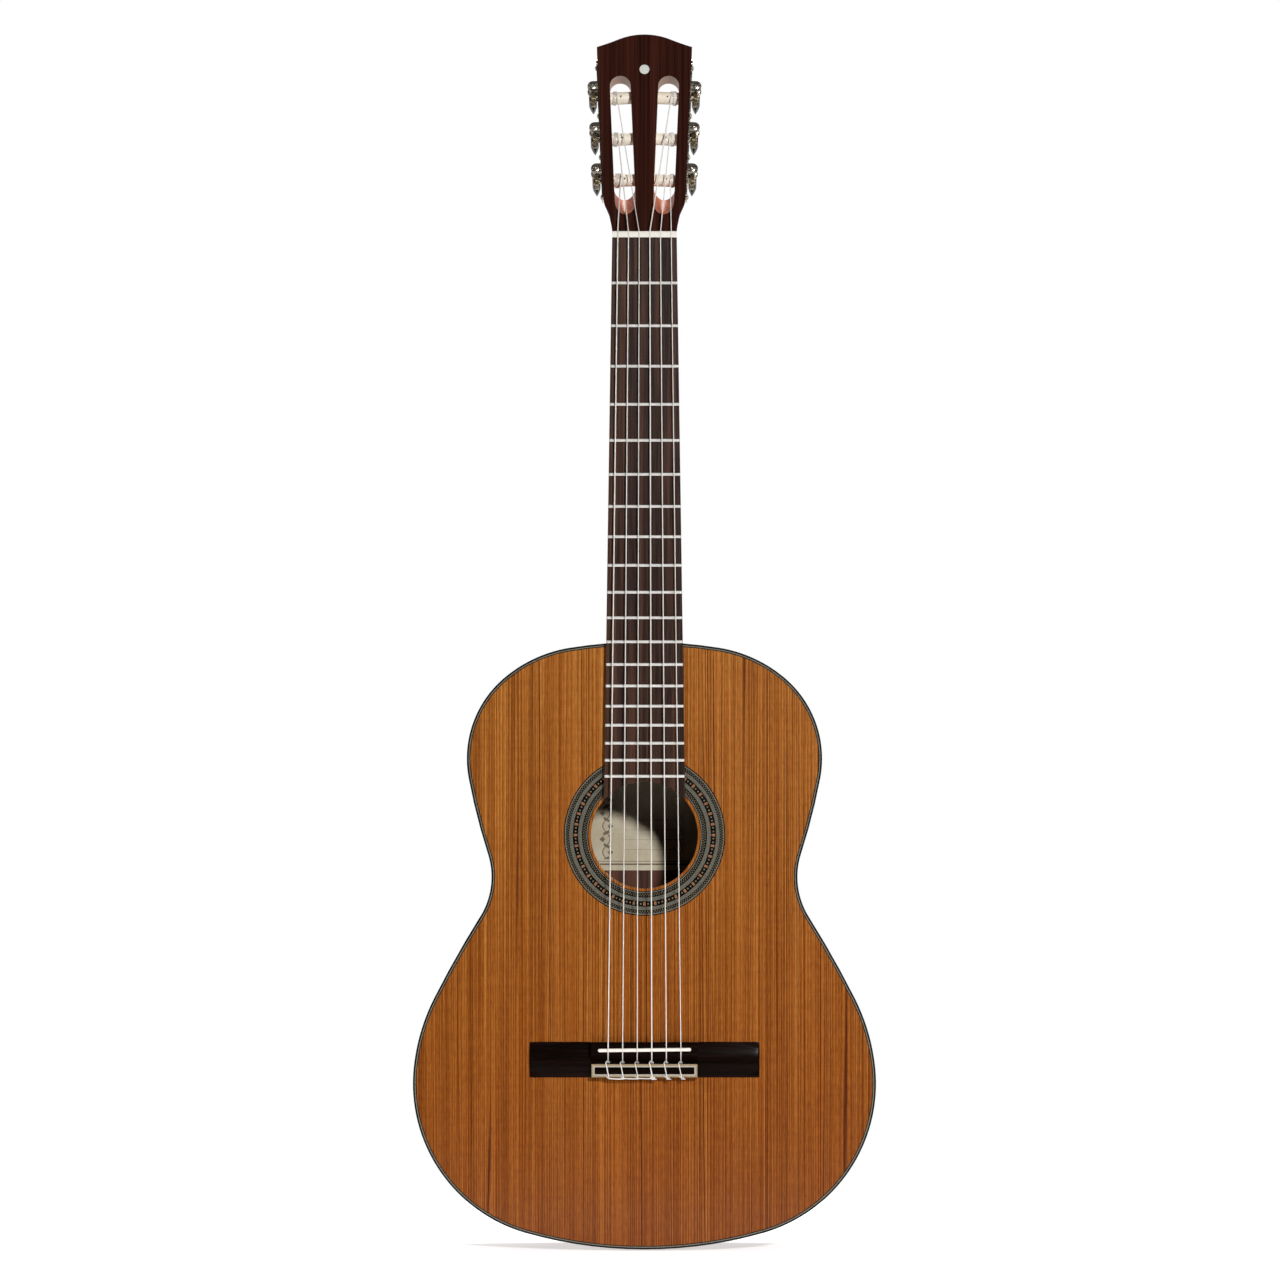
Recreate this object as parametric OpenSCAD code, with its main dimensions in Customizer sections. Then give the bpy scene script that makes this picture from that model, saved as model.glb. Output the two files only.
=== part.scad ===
// Classical guitar: slotted head with worm tuners, 19 frets, fan-braced top, tie-block bridge.
// Millimetres. Z runs up the neck, the soundboard faces -Y, and +X is the treble side.
// The origin is on the centreline of the neck's back, level with the nut, where a hanger holds it.

/* [Strings] */
// Vibrating length, from the nut to the middle of the saddle without compensation
scale_length = 650; // [640:1:660]
// Distance between the outer strings at the nut
nut_spread = 43; // [41:0.5:45]
// Distance between the outer strings at the saddle
saddle_spread = 58.5; // [56:0.5:60]
// Extra length at the saddle that keeps the strings in tune
compensation = 3; // [2:0.5:4]

/* [Neck] */
// Width at the nut
nut_width = 52; // [50:0.5:54]
// Width where the neck meets the body, at the 12th fret
heel_width = 61.5; // [60:0.5:63]
// Depth of the neck's wood at the nut, under the fingerboard
neck_depth = 16; // [14:0.5:18]
// Depth of the neck's wood where the heel begins
neck_depth_heel = 18; // [17:0.5:20]
// Thickness of the fingerboard
board_t = 6; // [5:0.5:7]
// Number of frets
fret_count = 19; // [12:1:19]

/* [Head] */
// Angle that the head leans back from the neck
head_tilt = 15; // [12:0.5:17]
// Length of the head along its own face
head_length = 167; // [162:1:170]
// Thickness of the head's wood, without its veneer
head_t = 17; // [16:0.5:18]
// Thickness of the face veneer
veneer_t = 2.5; // [2:0.5:3]
// Angle that each side of the head leans out from the centreline
head_taper = 2.4; // [2:0.1:2.8]
// Width of each string slot
slot_w = 16.8; // [16:0.2:18]
// Distance between the axes of neighbouring rollers
roller_pitch = 35; // [35:0.1:36]

/* [Body] */
// Depth of the body at the heel, on the centreline
depth_heel = 91; // [88:1:94]
// Depth of the body at the tail, on the centreline
depth_tail = 96; // [93:1:100]
// Radius of the back's arch from side to side
back_arch = 2800; // [2400:100:3600]
// Radius of the soundhole
hole_r = 43; // [41:0.5:44]
// Distance from the body's heel end to the middle of the soundhole
hole_drop = 155.5; // [153:0.5:158]
// Thickness of the soundboard
top_t = 2.5; // [2:0.1:3]
// Thickness of the back
back_t = 2.5; // [2:0.1:3]
// Thickness of the bent sides
rib_t = 2.2; // [2:0.1:2.4]

/* [Tuners] */
// Teeth on each tuner's gear
gear_teeth = 14; // [14:1:14]
// Size of the gear's teeth: pitch diameter over the number of teeth
gear_module = 0.85; // [0.85:0.01:0.85]
// Radius of the roller that winds the string
roller_r = 5; // [4.8:0.1:5]
// Free gap around each turning part
run_gap = 0.06; // [0.05:0.01:0.08]

/* [Hidden] */
$fn = 96;

// How far a cutter runs past what it cuts
cut_over = 1;

// Half of the body's outline from the heel end to the tail: each arc's radius and its sweep in degrees,
// every arc tangent to the next. The waist's radius is negative, because it curves inwards.
// The last arc, across the tail, is worked out so that it meets its mirror image smoothly.
bout_arcs = [[380, 9.1], [108, 31.5], [85, 60], [493, 7.3], [-61, 50], [812, 5.3], [160, 21], [125, 80]];

function half_arcs(i = 0, p = [0, 0], heading = 0) =
  i < len(bout_arcs)
  ? let (r = bout_arcs[i][0],
         c = p + r * [sin(heading), -cos(heading)],
         next = heading - sign(r) * bout_arcs[i][1],
         q = c - r * [sin(next), -cos(next)])
    concat([[c, r, heading, next]], half_arcs(i + 1, q, next))
  : let (r = -p[0] / sin(heading))
    [[p + r * [sin(heading), -cos(heading)], r, heading, -180]];

function on_arc(arc, heading, inset) = arc[0] - (arc[1] - inset) * [sin(heading), -cos(heading)];

arcs = half_arcs();
arc_step = 5;
body_l = -on_arc(arcs[len(arcs) - 1], -180, 0)[1];

function fret_z(n) = -scale_length * (1 - pow(2, -n / 12));
body_z = fret_z(12);
tail_z = body_z - body_l;
hole_z = body_z - hole_drop;
saddle_z = -scale_length - compensation;

// Strings, from the first (treble) to the sixth (bass): radius, then how far the roller's wraps sit
// outside the middle of the slot. The first, second and third are plain, the others are wound.
string_r = [0.36, 0.41, 0.51, 0.38, 0.45, 0.54];
wrap_out = [4.4, 2.6, 2.6, 3.1, 3.5, 2.9];
wraps = 3;
nut_h = 3.1;
nut_l = 5;
nut_sink = 0.35;
nut_gap = 0.05;
nut_open = 2;
string_nut_y = nut_sink - board_t - nut_h;
saddle_top_y = -12;

function string_x(i, spread) = spread * (2.5 - i) / 5;

// Nut, frets and fingerboard
board_end_z = hole_z + hole_r / 2;
fret_crown = 1.1;
fret_w = 2.2;
fret_round = 1.3;
fret_tang = 1.8;
fret_tang_w = 0.6;

// Edges of the body
bind_w = 1.4;
bind_h = 5;
purf_w = 1.5;
purf_t = 1.2;
lining_w = 5;
lining_h = 12;
back_tilt = atan((depth_tail - depth_heel) / body_l);
deep = depth_tail + 20;
end_room = 60;
graft_w = 16;
graft_t = 1;

// Rosette
rosette_in = hole_r + 2.3;
rosette_out = 65;
rosette_t = 1;

// Bridge
bridge_w = 185;
bridge_l = 28.5;
bridge_top = saddle_z + 6;
tie_w = 86;
tie_l = 11.5;
tie_y = -9;
tie_z = bridge_top - bridge_l;
bridge_front_y = -6.5;
front_bevel = 2.5;
saddle_block_y = -9;
saddle_back = 3.5;
channel_high_y = -6.2;
channel_high_z = saddle_z - 6.5;
channel_low_y = -3.2;
wing_t = 3.8;
wing_edge = 0.8;
wing_arch = 34;
wing_fall = 680;
wing_lap = 1;
tie_hole_y = -4.8;
tie_hole_r = 0.9;
tie_hole_run = 2;
tie_lean = 2.6;
tie_gap = 0.1;
tie_front_gap = 0.15;
tie_end = 2.5;
edging_w = 2.6;
edging_t = 1.2;
saddle_l = 75;
saddle_t = 2.8;
saddle_slant = 0.6;
saddle_seat = -4;

// Head, in its own frame: z along the face from the nut, y into the wood from under the veneer
side_x = 32;
slot_x = 14.4;
slot_low = 33;
slot_high = 131.5;
ramp_z = 14;
ramp_lean = 43;
ramp_above = 15;
ramp_long = 50;
ramp_open = 16;
slot_above = 10;
slot_deep = 40;
crest_r = 54;
crest_half = 21;
shoulder_r = 200;
neck_blend = 22;
head_reach = 60;
waist_front = 20;
waist_back = 80;
inlay_z = 137;
inlay_r = 4;
inlay_t = 1;

// Tuners, in the frame of the head's side: x outwards, y into the wood, z along the side
roller_z = [45, 45 + roller_pitch, 45 + 2 * roller_pitch];
roller_y = 7.5;
roller_in = 31.5;
roller_end_gap = 0.3;
bore_end_gap = 0.5;
bore_past = 20;
wrap_clear = 0.1;
wrap_gap = 0.06;
wrap_lap = 0.04;
string_hole_r = 0.9;
string_hole_in = 3.2;
plate_t = 1;
plate_low = 27;
plate_high = 149;
plate_half = 7;
plate_corner_r = 3.6;
plate_corner_low = 5;
plate_flat_low = 6;
plate_flat_high = 8;
plate_tip_low = 3.5;
plate_tip_high = 4;
pitch_r = gear_teeth * gear_module / 2;
thread_pitch = PI * gear_module;
worm_pitch_r = 2.7;
worm_drop = pitch_r + worm_pitch_r;
worm_x = 4.6;
gear_w = 3;
gear_tip = 6.55;
gear_root = 5;
worm_core = 1.9;
worm_crest = 3.4;
post_r = 2;
lug_r = 4.3;
lug_t = 2.5;
lug_gap = 11;
journal_front = 2.4;
journal_rear = 2;
journal_inset = 0.5;
journal_past = 1;
shaft_lap = 0.1;
collar_r = 3.6;
collar_t = 1.6;
collar_gap = 0.3;
throat_r = 2.4;
throat_t = 1.6;
stem_r = 3.2;
spigot_r = 1.5;
spigot_l = 13;
button_start = 24.5;
button_l = 24;
button_half = 12;
button_t = 6.6;
button_arch = 24;
button_skew = 0.72;
button_full = 0.62;
button_foot = 0.03;
button_steps = 20;
screw_spots = [31.5, 65.5, 100.5, 141.5];
screw_hole_r = 1.2;
screw_head_r = 2.2;
screw_head_h = 1.3;
screw_dome_r = 3.2;
screw_shank_r = 1.1;
screw_floor = 0.75;
driver_w = 0.7;
driver_l = 6;

// ---------------------------------------------------------------- placing

// A flat slab from y = a to y = b, whose outline is drawn in x and z
module slab(a, b) {
  translate([0, b, 0]) rotate([90, 0, 0]) linear_extrude(b - a) children();
}

// A bar from x = a to x = b, whose section is drawn in y and z
module across(a, b) {
  translate([a, 0, 0]) rotate([90, 0, 90]) linear_extrude(b - a) children();
}

module on_head() {
  translate([0, 0, nut_l]) rotate([-head_tilt, 0, 0]) children();
}

// The frame of one side of the head: 1 for the treble side, -1 for the bass side
module on_side(side) {
  mirror([side < 0 ? 1 : 0, 0, 0]) translate([side_x, 0, 0]) rotate([0, head_taper, 0]) children();
}

// String i (0 to 5) winds on this side, and on this roller counted from the nut
function side_of(i) = i < 3 ? 1 : -1;
function roller_of(i) = i < 3 ? i : 5 - i;

module on_roller(i) {
  on_head() on_side(side_of(i)) translate([0, roller_y, roller_z[roller_of(i)]]) children();
}

// ---------------------------------------------------------------- the body's shell

function arc_run(arc, inset) = let (n = ceil(abs(arc[3] - arc[2]) / arc_step))
  [for (k = [0:n - 1]) on_arc(arc, arc[2] + (arc[3] - arc[2]) * k / n, inset)];

// The body's outline, moved inwards by inset
module body_shape(inset = 0) {
  half = [for (a = arcs) each arc_run(a, inset)];
  tail = on_arc(arcs[len(arcs) - 1], -180, inset);
  left = [for (k = [len(half) - 1:-1:1]) [-half[k][0], half[k][1]]];
  translate([0, body_z]) polygon(concat(half, [tail], left));
}

module body_ring(outer, inner) {
  difference() {
    body_shape(outer);
    body_shape(inner);
  }
}

// Everything in front of the arched back, or of a surface that far inside it
module in_front_of_back(depth = 0) {
  translate([0, depth_heel, body_z]) rotate([back_tilt, 0, 0])
    translate([0, -back_arch, -body_l - end_room])
      cylinder(r = back_arch - depth, h = body_l + 2 * end_room, $fn = 256);
}

module back_layer(outer, inner) {
  difference() {
    intersection() {
      slab(deep / 2, deep) children();
      in_front_of_back(outer);
    }
    in_front_of_back(inner);
  }
}

module soundboard() color("peru") difference() {
  slab(0, top_t) body_shape(bind_w);
  slab(-cut_over, purf_t) body_ring(bind_w - cut_over, bind_w + purf_w);
  slab(-cut_over, rosette_t) rosette_ring();
  slab(-cut_over, top_t + cut_over) translate([0, hole_z]) circle(hole_r);
}

module rosette_ring() translate([0, hole_z]) difference() {
  circle(rosette_out);
  circle(rosette_in);
}

module rosette() color("dimgray") slab(0, rosette_t) rosette_ring();

module top_purfling() color("ivory") slab(0, purf_t) body_ring(bind_w, bind_w + purf_w);

module top_binding() color("black") slab(0, bind_h) body_ring(0, bind_w);

module back_binding() color("black") back_layer(0, bind_h) body_ring(0, bind_w);

module ribs() color("saddlebrown") difference() {
  union() {
    slab(top_t, bind_h) body_ring(bind_w, rib_t);
    intersection() {
      slab(bind_h, deep) body_ring(0, rib_t);
      in_front_of_back(bind_h);
    }
    back_layer(back_t, bind_h) body_ring(bind_w, rib_t);
  }
  end_graft_solid();
}

module end_graft_solid() intersection() {
  slab(bind_h, deep) intersection() {
    body_ring(0, graft_t);
    translate([-graft_w / 2, tail_z - rib_t]) square([graft_w, 2 * rib_t]);
  }
  in_front_of_back(bind_h);
}

module end_graft() color("black") end_graft_solid();

module back_plate() color("saddlebrown") back_layer(0, back_t) body_shape(bind_w);

// ---------------------------------------------------------------- inside the body

block_w = 64;
block_l = 38;
tail_block_w = 76;
tail_block_l = 15;
wall = rib_t + lining_w;

module block_zone(w, low, high) translate([-w / 2, low]) square([w, high - low]);

module heel_zone() block_zone(block_w, body_z - block_l, body_z + cut_over);

module tail_zone() block_zone(tail_block_w, tail_z - cut_over, tail_z + rib_t + tail_block_l);

module linings() color("burlywood") {
  slab(top_t, top_t + lining_h) difference() {
    body_ring(rib_t, wall);
    heel_zone();
    tail_zone();
  }
  back_layer(back_t, back_t + lining_h) difference() {
    body_ring(rib_t, wall);
    heel_zone();
    tail_zone();
  }
}

module neck_block() color("sienna") intersection() {
  slab(top_t, deep) intersection() {
    body_shape(rib_t);
    heel_zone();
  }
  in_front_of_back(back_t);
}

module tail_block() color("sienna") intersection() {
  slab(top_t, deep) intersection() {
    body_shape(rib_t);
    tail_zone();
  }
  in_front_of_back(back_t);
}

patch_w = 190;
patch_l = 32;
patch_t = 2;
fan_h = 5;
fan_w = 6;
bar_h = 15;
bar_w = 6;
fan_count = 7;
fan_gap = 19;
fan_spread = 4.2;
fan_clear = 1;
bar_clear = 0.5;
bar_reach = 200;
bar_drop = 5;
patch_drop = 1;
back_bars = [body_z - 78, hole_z - 75, tail_z + 130];
fan_high = hole_z - rosette_out - 10;
fan_low = tail_z + 48;

module patch_zone() translate([-patch_w / 2, tie_z - patch_drop]) square([patch_w, patch_l]);

module bridge_patch() color("burlywood") slab(top_t, top_t + patch_t) patch_zone();

// Seven struts that spread from above the bridge towards the tail
module fan_zone() {
  intersection() {
    difference() {
      union() for (k = [-(fan_count - 1) / 2:(fan_count - 1) / 2])
        translate([k * fan_gap, fan_high]) rotate(k * fan_spread)
          translate([-fan_w / 2, fan_low - fan_high]) square([fan_w, fan_high - fan_low]);
      patch_zone();
    }
    body_shape(wall + fan_clear);
  }
}

module bar_zone(z) intersection() {
  translate([-bar_reach, z - bar_w / 2]) square([2 * bar_reach, bar_w]);
  body_shape(wall + bar_clear);
}

module top_braces() color("burlywood") {
  slab(top_t, top_t + fan_h) fan_zone();
  for (side = [1, -1]) slab(top_t, top_t + bar_h) bar_zone(hole_z + side * (rosette_out + bar_drop));
}

module back_braces() color("burlywood")
  for (z = back_bars) back_layer(back_t, back_t + bar_h) bar_zone(z);

label_w = 116;
label_h = 80;
label_t = 0.2;
label_low = hole_z - 31;

module label() color("wheat") back_layer(back_t, back_t + label_t)
  translate([-label_w / 2, label_low]) square([label_w, label_h]);

// ---------------------------------------------------------------- bridge

// The bridge's middle, from the side: the saddle's seat, the channel and the tie block
module middle_profile() {
  polygon([[0, bridge_top], [bridge_front_y, bridge_top],
           [saddle_block_y, bridge_top - front_bevel], [saddle_block_y, saddle_z - saddle_back],
           [channel_high_y, channel_high_z], [channel_low_y, tie_z + tie_l],
           [tie_y, tie_z + tie_l], [tie_y, tie_z], [0, tie_z]]);
}

// A wing, domed both ways above an edge of even thickness
module bridge_wing() {
  wing_l = (bridge_w - tie_w) / 2 + wing_lap;
  wing_x = tie_w / 2 - wing_lap;
  translate([wing_x, -wing_edge, tie_z]) cube([wing_l, wing_edge, bridge_l]);
  intersection() {
    translate([wing_x, -wing_t, tie_z]) cube([wing_l, wing_t, bridge_l]);
    translate([0, wing_arch - wing_t, tie_z + bridge_l / 2]) rotate([0, 90, 0])
      cylinder(r = wing_arch, h = bridge_w);
    translate([tie_w / 2, wing_fall - wing_t, tie_z]) cylinder(r = wing_fall, h = bridge_l, $fn = 256);
  }
}

module edging_zone() translate([-tie_w / 2, tie_z]) difference() {
  square([tie_w, tie_l]);
  translate([edging_w, edging_w]) square([tie_w - 2 * edging_w, tie_l - 2 * edging_w]);
}

module bridge() color([0.12, 0.07, 0.05]) difference() {
  union() {
    across(-tie_w / 2, tie_w / 2) middle_profile();
    for (side = [0, 1]) mirror([side, 0, 0]) bridge_wing();
  }
  saddle_bar(saddle_top_y - cut_over, saddle_seat);
  slab(tie_y - cut_over, tie_y + edging_t) edging_zone();
  for (i = [0:5]) translate([string_x(i, saddle_spread), tie_hole_y, tie_z - cut_over])
    cylinder(r = tie_hole_r, h = tie_l + cut_over + tie_hole_run);
}

// The saddle's round-ended bar, from y = top to y = bottom
module saddle_bar(top, bottom) {
  straight = saddle_l - saddle_t;
  translate([0, 0, saddle_z]) rotate([0, -saddle_slant, 0]) {
    translate([-straight / 2, top, -saddle_t / 2]) cube([straight, bottom - top, saddle_t]);
    for (s = [-1, 1]) translate([s * straight / 2, bottom, 0]) rotate([90, 0, 0])
      cylinder(d = saddle_t, h = bottom - top);
  }
}

module saddle() color("ivory") saddle_bar(saddle_top_y, saddle_seat);

module tie_block_edging() color("burlywood") slab(tie_y, tie_y + edging_t) edging_zone();

// ---------------------------------------------------------------- neck and fingerboard

heel_start = body_z + 44;
heel_cap_l = 13;
heel_cap_w = 12;
heel_cap_t = 2.5;
heel_depth = depth_heel - heel_cap_t;
heel_lap = 3;
section_steps = 24;
neck_round = 0.8;
neck_full = 0.86;
heel_full = 0.5;
heel_waist = 0.4;
pinch_depth = 20;
neck_reach = 50;

function neck_w(z) = nut_width + (heel_width - nut_width) * z / body_z;

// Depth of the neck's wood along the neck, with the heel's hollow curve
function neck_t(z) = z > heel_start
  ? neck_depth + (neck_depth_heel - neck_depth) * z / heel_start
  : let (u = min(1, (heel_start - z) / (heel_start - body_z - heel_cap_l)))
    neck_depth_heel + (heel_depth - neck_depth_heel) * (1 - sqrt(max(0, 1 - u * u)));

// How far the section has become the heel's: 0 along the neck, 1 at the body
function heel_share(z) = max(0, min(1, (heel_start - z) / (heel_start - body_z)));

function heel_pinch(y, z) = 1 - heel_share(z) * (1 - heel_waist) * (1 - exp(-y / pinch_depth));

function section(z) = let (a = neck_w(z) / 2, t = neck_t(z))
  [for (k = [0:section_steps])
    let (f = 180 * k / section_steps,
         y = t * pow(max(0, sin(f)), neck_round),
         wide = pow(abs(cos(f)), neck_full - heel_full * heel_share(z)))
    [sign(cos(f)) * a * wide * heel_pinch(y, z), y, z]];

// A closed solid through the neck's sections at the given heights
module through_sections(heights) {
  n = section_steps + 1;
  last = len(heights) - 1;
  polyhedron(
    points = [for (z = heights) each section(z)],
    faces = concat(
      [[for (k = [n - 1:-1:0]) k]],
      [[for (k = [0:n - 1]) last * n + k]],
      [for (s = [0:last - 1], k = [0:n - 1])
        [s * n + k, s * n + (k + 1) % n, (s + 1) * n + (k + 1) % n, (s + 1) * n + k]]));
}

module neck() color("sienna") difference() {
  through_sections([nut_l + 3, heel_start]);
  on_head() translate([-neck_reach, -neck_reach, 0]) cube([2 * neck_reach, 2 * neck_reach, neck_reach]);
}

heel_steps = 14;

module heel() color("sienna") difference() {
  through_sections(concat(
    [for (k = [0:heel_steps]) heel_start - (heel_start - body_z - heel_cap_l) * sin(90 * k / heel_steps)],
    [body_z, body_z - heel_lap]));
  slab(-cut_over, deep) body_shape();
}

module heel_cap() color("black") difference() {
  slab(heel_depth, heel_depth + heel_cap_t) translate([0, body_z])
    polygon(concat([[-heel_cap_w, -heel_lap], [heel_cap_w, -heel_lap]],
                   [for (f = [0:15:180]) [heel_cap_w * cos(f), heel_cap_l * sin(f)]]));
  slab(-cut_over, deep) body_shape();
}

module board_shape() difference() {
  end_w = neck_w(board_end_z);
  polygon(mirrored([[nut_width / 2, 0], [end_w / 2, board_end_z]]));
  translate([0, hole_z]) circle(hole_r);
}

module fingerboard() color([0.25, 0.18, 0.14]) difference() {
  slab(-board_t, 0) board_shape();
  for (n = [1:fret_count]) translate([-neck_reach, -board_t - cut_over, fret_z(n) - fret_tang_w / 2])
    cube([2 * neck_reach, fret_tang + cut_over, fret_tang_w]);
}

// A fret's crown stands proud of the board, and its tang is pressed into the slot
module fret(n) across(-neck_w(fret_z(n)) / 2, neck_w(fret_z(n)) / 2) translate([-board_t, fret_z(n)]) {
  intersection() {
    translate([fret_round - fret_crown, 0]) circle(fret_round);
    translate([-fret_crown, -fret_w / 2]) square([fret_crown, fret_w]);
  }
  translate([0, -fret_tang_w / 2]) square([fret_tang, fret_tang_w]);
}

module frets() color("silver") for (n = [1:fret_count]) fret(n);

module nut() color("ivory") difference() {
  translate([-nut_width / 2, -board_t - nut_h, 0]) cube([nut_width, board_t + nut_h, nut_l]);
  for (i = [0:5]) translate([string_x(i, nut_spread), string_nut_y, -cut_over]) {
    slot_r = string_r[i] + nut_gap;
    cylinder(r = slot_r, h = nut_l + 2 * cut_over);
    translate([-slot_r, -nut_open, 0]) cube([2 * slot_r, nut_open, nut_l + 2 * cut_over]);
  }
}

// ---------------------------------------------------------------- head

function arc_points(c, r, from, to, steps) =
  [for (k = [0:steps]) let (f = from + (to - from) * k / steps) c + r * [cos(f), sin(f)]];

// The right half of the head's outline: neck curve, straight side, shoulder and crest
crest_angle = asin(crest_half / crest_r);
shoulder_start = [crest_half, head_length - crest_r * (1 - cos(crest_angle))];
shoulder_c = shoulder_start + shoulder_r * [sin(crest_angle), cos(crest_angle)];

// Where the shoulder's arc meets the head's straight side, which leans out by head_taper
lean = tan(head_taper);
lean_b = lean * (side_x - shoulder_c[0]) - shoulder_c[1];
lean_c = pow(side_x - shoulder_c[0], 2) + pow(shoulder_c[1], 2) - pow(shoulder_r, 2);
corner_z = (-lean_b - sqrt(lean_b * lean_b - (1 + lean * lean) * lean_c)) / (1 + lean * lean);
corner_x = side_x + corner_z * tan(head_taper);
corner_angle = asin((shoulder_c[0] - corner_x) / shoulder_r);
side_low = 27.5;
neck_curve = [[nut_width / 2, 0], [nut_width / 2 + 0.5, 4], [nut_width / 2 + 1.3, 8], [28.6, 14],
              [31.4, 20.5], [32.6, 24]];

head_half = concat(
  neck_curve, [[side_x + side_low * tan(head_taper), side_low]],
  arc_points(shoulder_c, shoulder_r, 270 - corner_angle, 270 - crest_angle, 6),
  arc_points([0, head_length - crest_r], crest_r, 90 - crest_angle, 90, 10));

// The right half of an outline, and then its mirror image backwards
function mirrored(half) =
  concat(half, [for (k = [len(half) - 1:-1:0]) if (half[k][0] > 0) [-half[k][0], half[k][1]]]);

module head_shape() polygon(mirrored(head_half));

// The two string slots, each with a gouged ramp that leads the strings down into it
module slot_cut() for (side = [0, 1])
  mirror([side, 0, 0]) translate([slot_x, 0, 0]) rotate([0, head_taper, 0]) {
    end_r = slot_w / 2;
    translate([-end_r, -slot_above, slot_low + end_r])
      cube([slot_w, slot_deep, slot_high - slot_low - slot_w]);
    for (z = [slot_low + end_r, slot_high - end_r])
      translate([0, slot_deep - slot_above, z]) rotate([90, 0, 0]) cylinder(r = end_r, h = slot_deep);
    translate([0, -veneer_t, ramp_z]) rotate([ramp_lean - 90, 0, 0]) translate([0, -end_r, -ramp_above]) {
      cylinder(r = end_r, h = ramp_long);
      translate([-end_r, -ramp_open, 0]) cube([slot_w, ramp_open, ramp_long]);
    }
  }

// The bores for the rollers, from the side of the head into its middle
module roller_bores() for (side = [-1, 1]) on_side(side) for (z = roller_z)
  translate([-roller_in - bore_end_gap, roller_y, z]) rotate([0, 90, 0])
    cylinder(r = roller_r + run_gap, h = roller_in + bore_past);

// Sections that blend the neck's round back into the head's flat one
module blend_zone() hull() {
  linear_extrude(0.01) polygon([for (p = section(0)) [p[0], p[1] * head_t / neck_depth]]);
  translate([-head_reach, 0, neck_blend]) cube([2 * head_reach, head_t, head_length]);
}

// The neck's width runs straight back behind the curve where it widens into the head
module waist_zone() {
  face_z = nut_l + veneer_t * sin(head_tilt);
  curve = [for (p = head_half) if (p[1] <= side_low) [p[0], face_z + p[1] * cos(head_tilt)]];
  top = curve[len(curve) - 1][1];
  slab(-waist_front, waist_back) polygon(mirrored(concat(
    [[nut_width / 2, -nut_l]], curve, [[head_reach, top], [head_reach, head_length + waist_front]])));
}

module headstock() color([0.25, 0.13, 0.1]) intersection() {
  on_head() difference() {
    intersection() {
      slab(0, head_t) head_shape();
      blend_zone();
    }
    slot_cut();
    roller_bores();
  }
  waist_zone();
}

module head_veneer() color([0.2, 0.1, 0.08]) on_head() difference() {
  slab(-veneer_t, 0) head_shape();
  slot_cut();
  slab(-veneer_t - cut_over, -veneer_t + inlay_t) inlay_shape();
}

module inlay_shape() translate([0, inlay_z]) circle(inlay_r);

module head_inlay() color("white") on_head() slab(-veneer_t, -veneer_t + inlay_t) inlay_shape();

// ---------------------------------------------------------------- tuners

module plate_outline() {
  corner_out = plate_half - plate_corner_r;
  translate([-plate_half, plate_low + plate_flat_low])
    square([2 * plate_half, plate_high - plate_low - plate_flat_low - plate_flat_high]);
  for (s = [-1, 1], z = [plate_low + plate_corner_low, plate_high - plate_flat_high])
    translate([s * corner_out, z]) circle(plate_corner_r);
  translate([0, plate_low + plate_tip_low]) circle(plate_tip_low);
  translate([0, plate_high - plate_tip_high]) circle(plate_tip_high);
}

module lug() {
  translate([worm_x, 0, 0]) rotate([-90, 0, 0]) cylinder(r = lug_r, h = lug_t);
  translate([plate_t / 2, 0, -lug_r]) cube([worm_x - plate_t / 2, lug_t, 2 * lug_r]);
}

// The plate, its two lugs for each worm, and its holes
module tuner_plate(side) color("silver") on_head() on_side(side) difference() {
  union() {
    translate([0, roller_y, 0]) rotate([90, 0, 90]) linear_extrude(plate_t) plate_outline();
    for (z = roller_z) translate([0, roller_y, z + worm_drop]) {
      translate([0, -lug_gap / 2 - lug_t, 0]) lug();
      translate([0, lug_gap / 2, 0]) lug();
    }
  }
  for (z = roller_z) {
    plate_hole(post_r + 0.5, z);
    translate([worm_x, roller_y - bore_past, z + worm_drop]) rotate([-90, 0, 0])
      cylinder(r = journal_front + run_gap, h = bore_past);
    translate([worm_x, roller_y, z + worm_drop]) rotate([-90, 0, 0])
      cylinder(r = journal_rear + run_gap, h = bore_past);
  }
  for (z = screw_spots) plate_hole(screw_hole_r, z);
}

module plate_hole(r, z) translate([-cut_over, roller_y, z]) rotate([0, 90, 0])
  cylinder(r = r, h = plate_t + 2 * cut_over);

// The slot across a screw's head, down to this height
module driver_slot(z) translate([-driver_w / 2, -driver_l / 2, z]) cube([driver_w, driver_l, 2]);

module plate_screws() color("silver") for (side = [-1, 1]) on_head() on_side(side)
  for (z = screw_spots) translate([plate_t, roller_y, z]) rotate([0, 90, 0]) difference() {
    union() {
      intersection() {
        cylinder(r = screw_head_r, h = screw_head_h);
        translate([0, 0, screw_head_h - screw_dome_r]) sphere(r = screw_dome_r);
      }
      translate([0, 0, -plate_t]) cylinder(r = screw_shank_r, h = plate_t + 0.2);
    }
    driver_slot(screw_floor);
  }

// The white sleeve, and the wraps of string that turn with it
module roller(i) on_roller(i) {
  color("ivory") difference() {
    translate([-roller_in, 0, 0]) rotate([0, 90, 0]) cylinder(r = roller_r, h = roller_in - roller_end_gap);
    translate([-roller_in - cut_over, 0, 0]) rotate([0, 90, 0])
      cylinder(r = post_r, h = roller_in + 2 * cut_over);
    string_hole(i);
  }
  color("whitesmoke") rotate([0, 90, 0]) rotate_extrude()
    for (k = [0:wraps - 1])
      translate([round_r(i), wrap_x(i) + 2 * string_r[i] + wrap_gap + k * (2 * string_r[i] - wrap_lap)])
        circle(r = string_r[i], $fn = 24);
}

// Where string i meets its roller, along the roller's axis from the head's side
function wrap_x(i) = slot_x - side_x + wrap_out[i];

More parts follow.
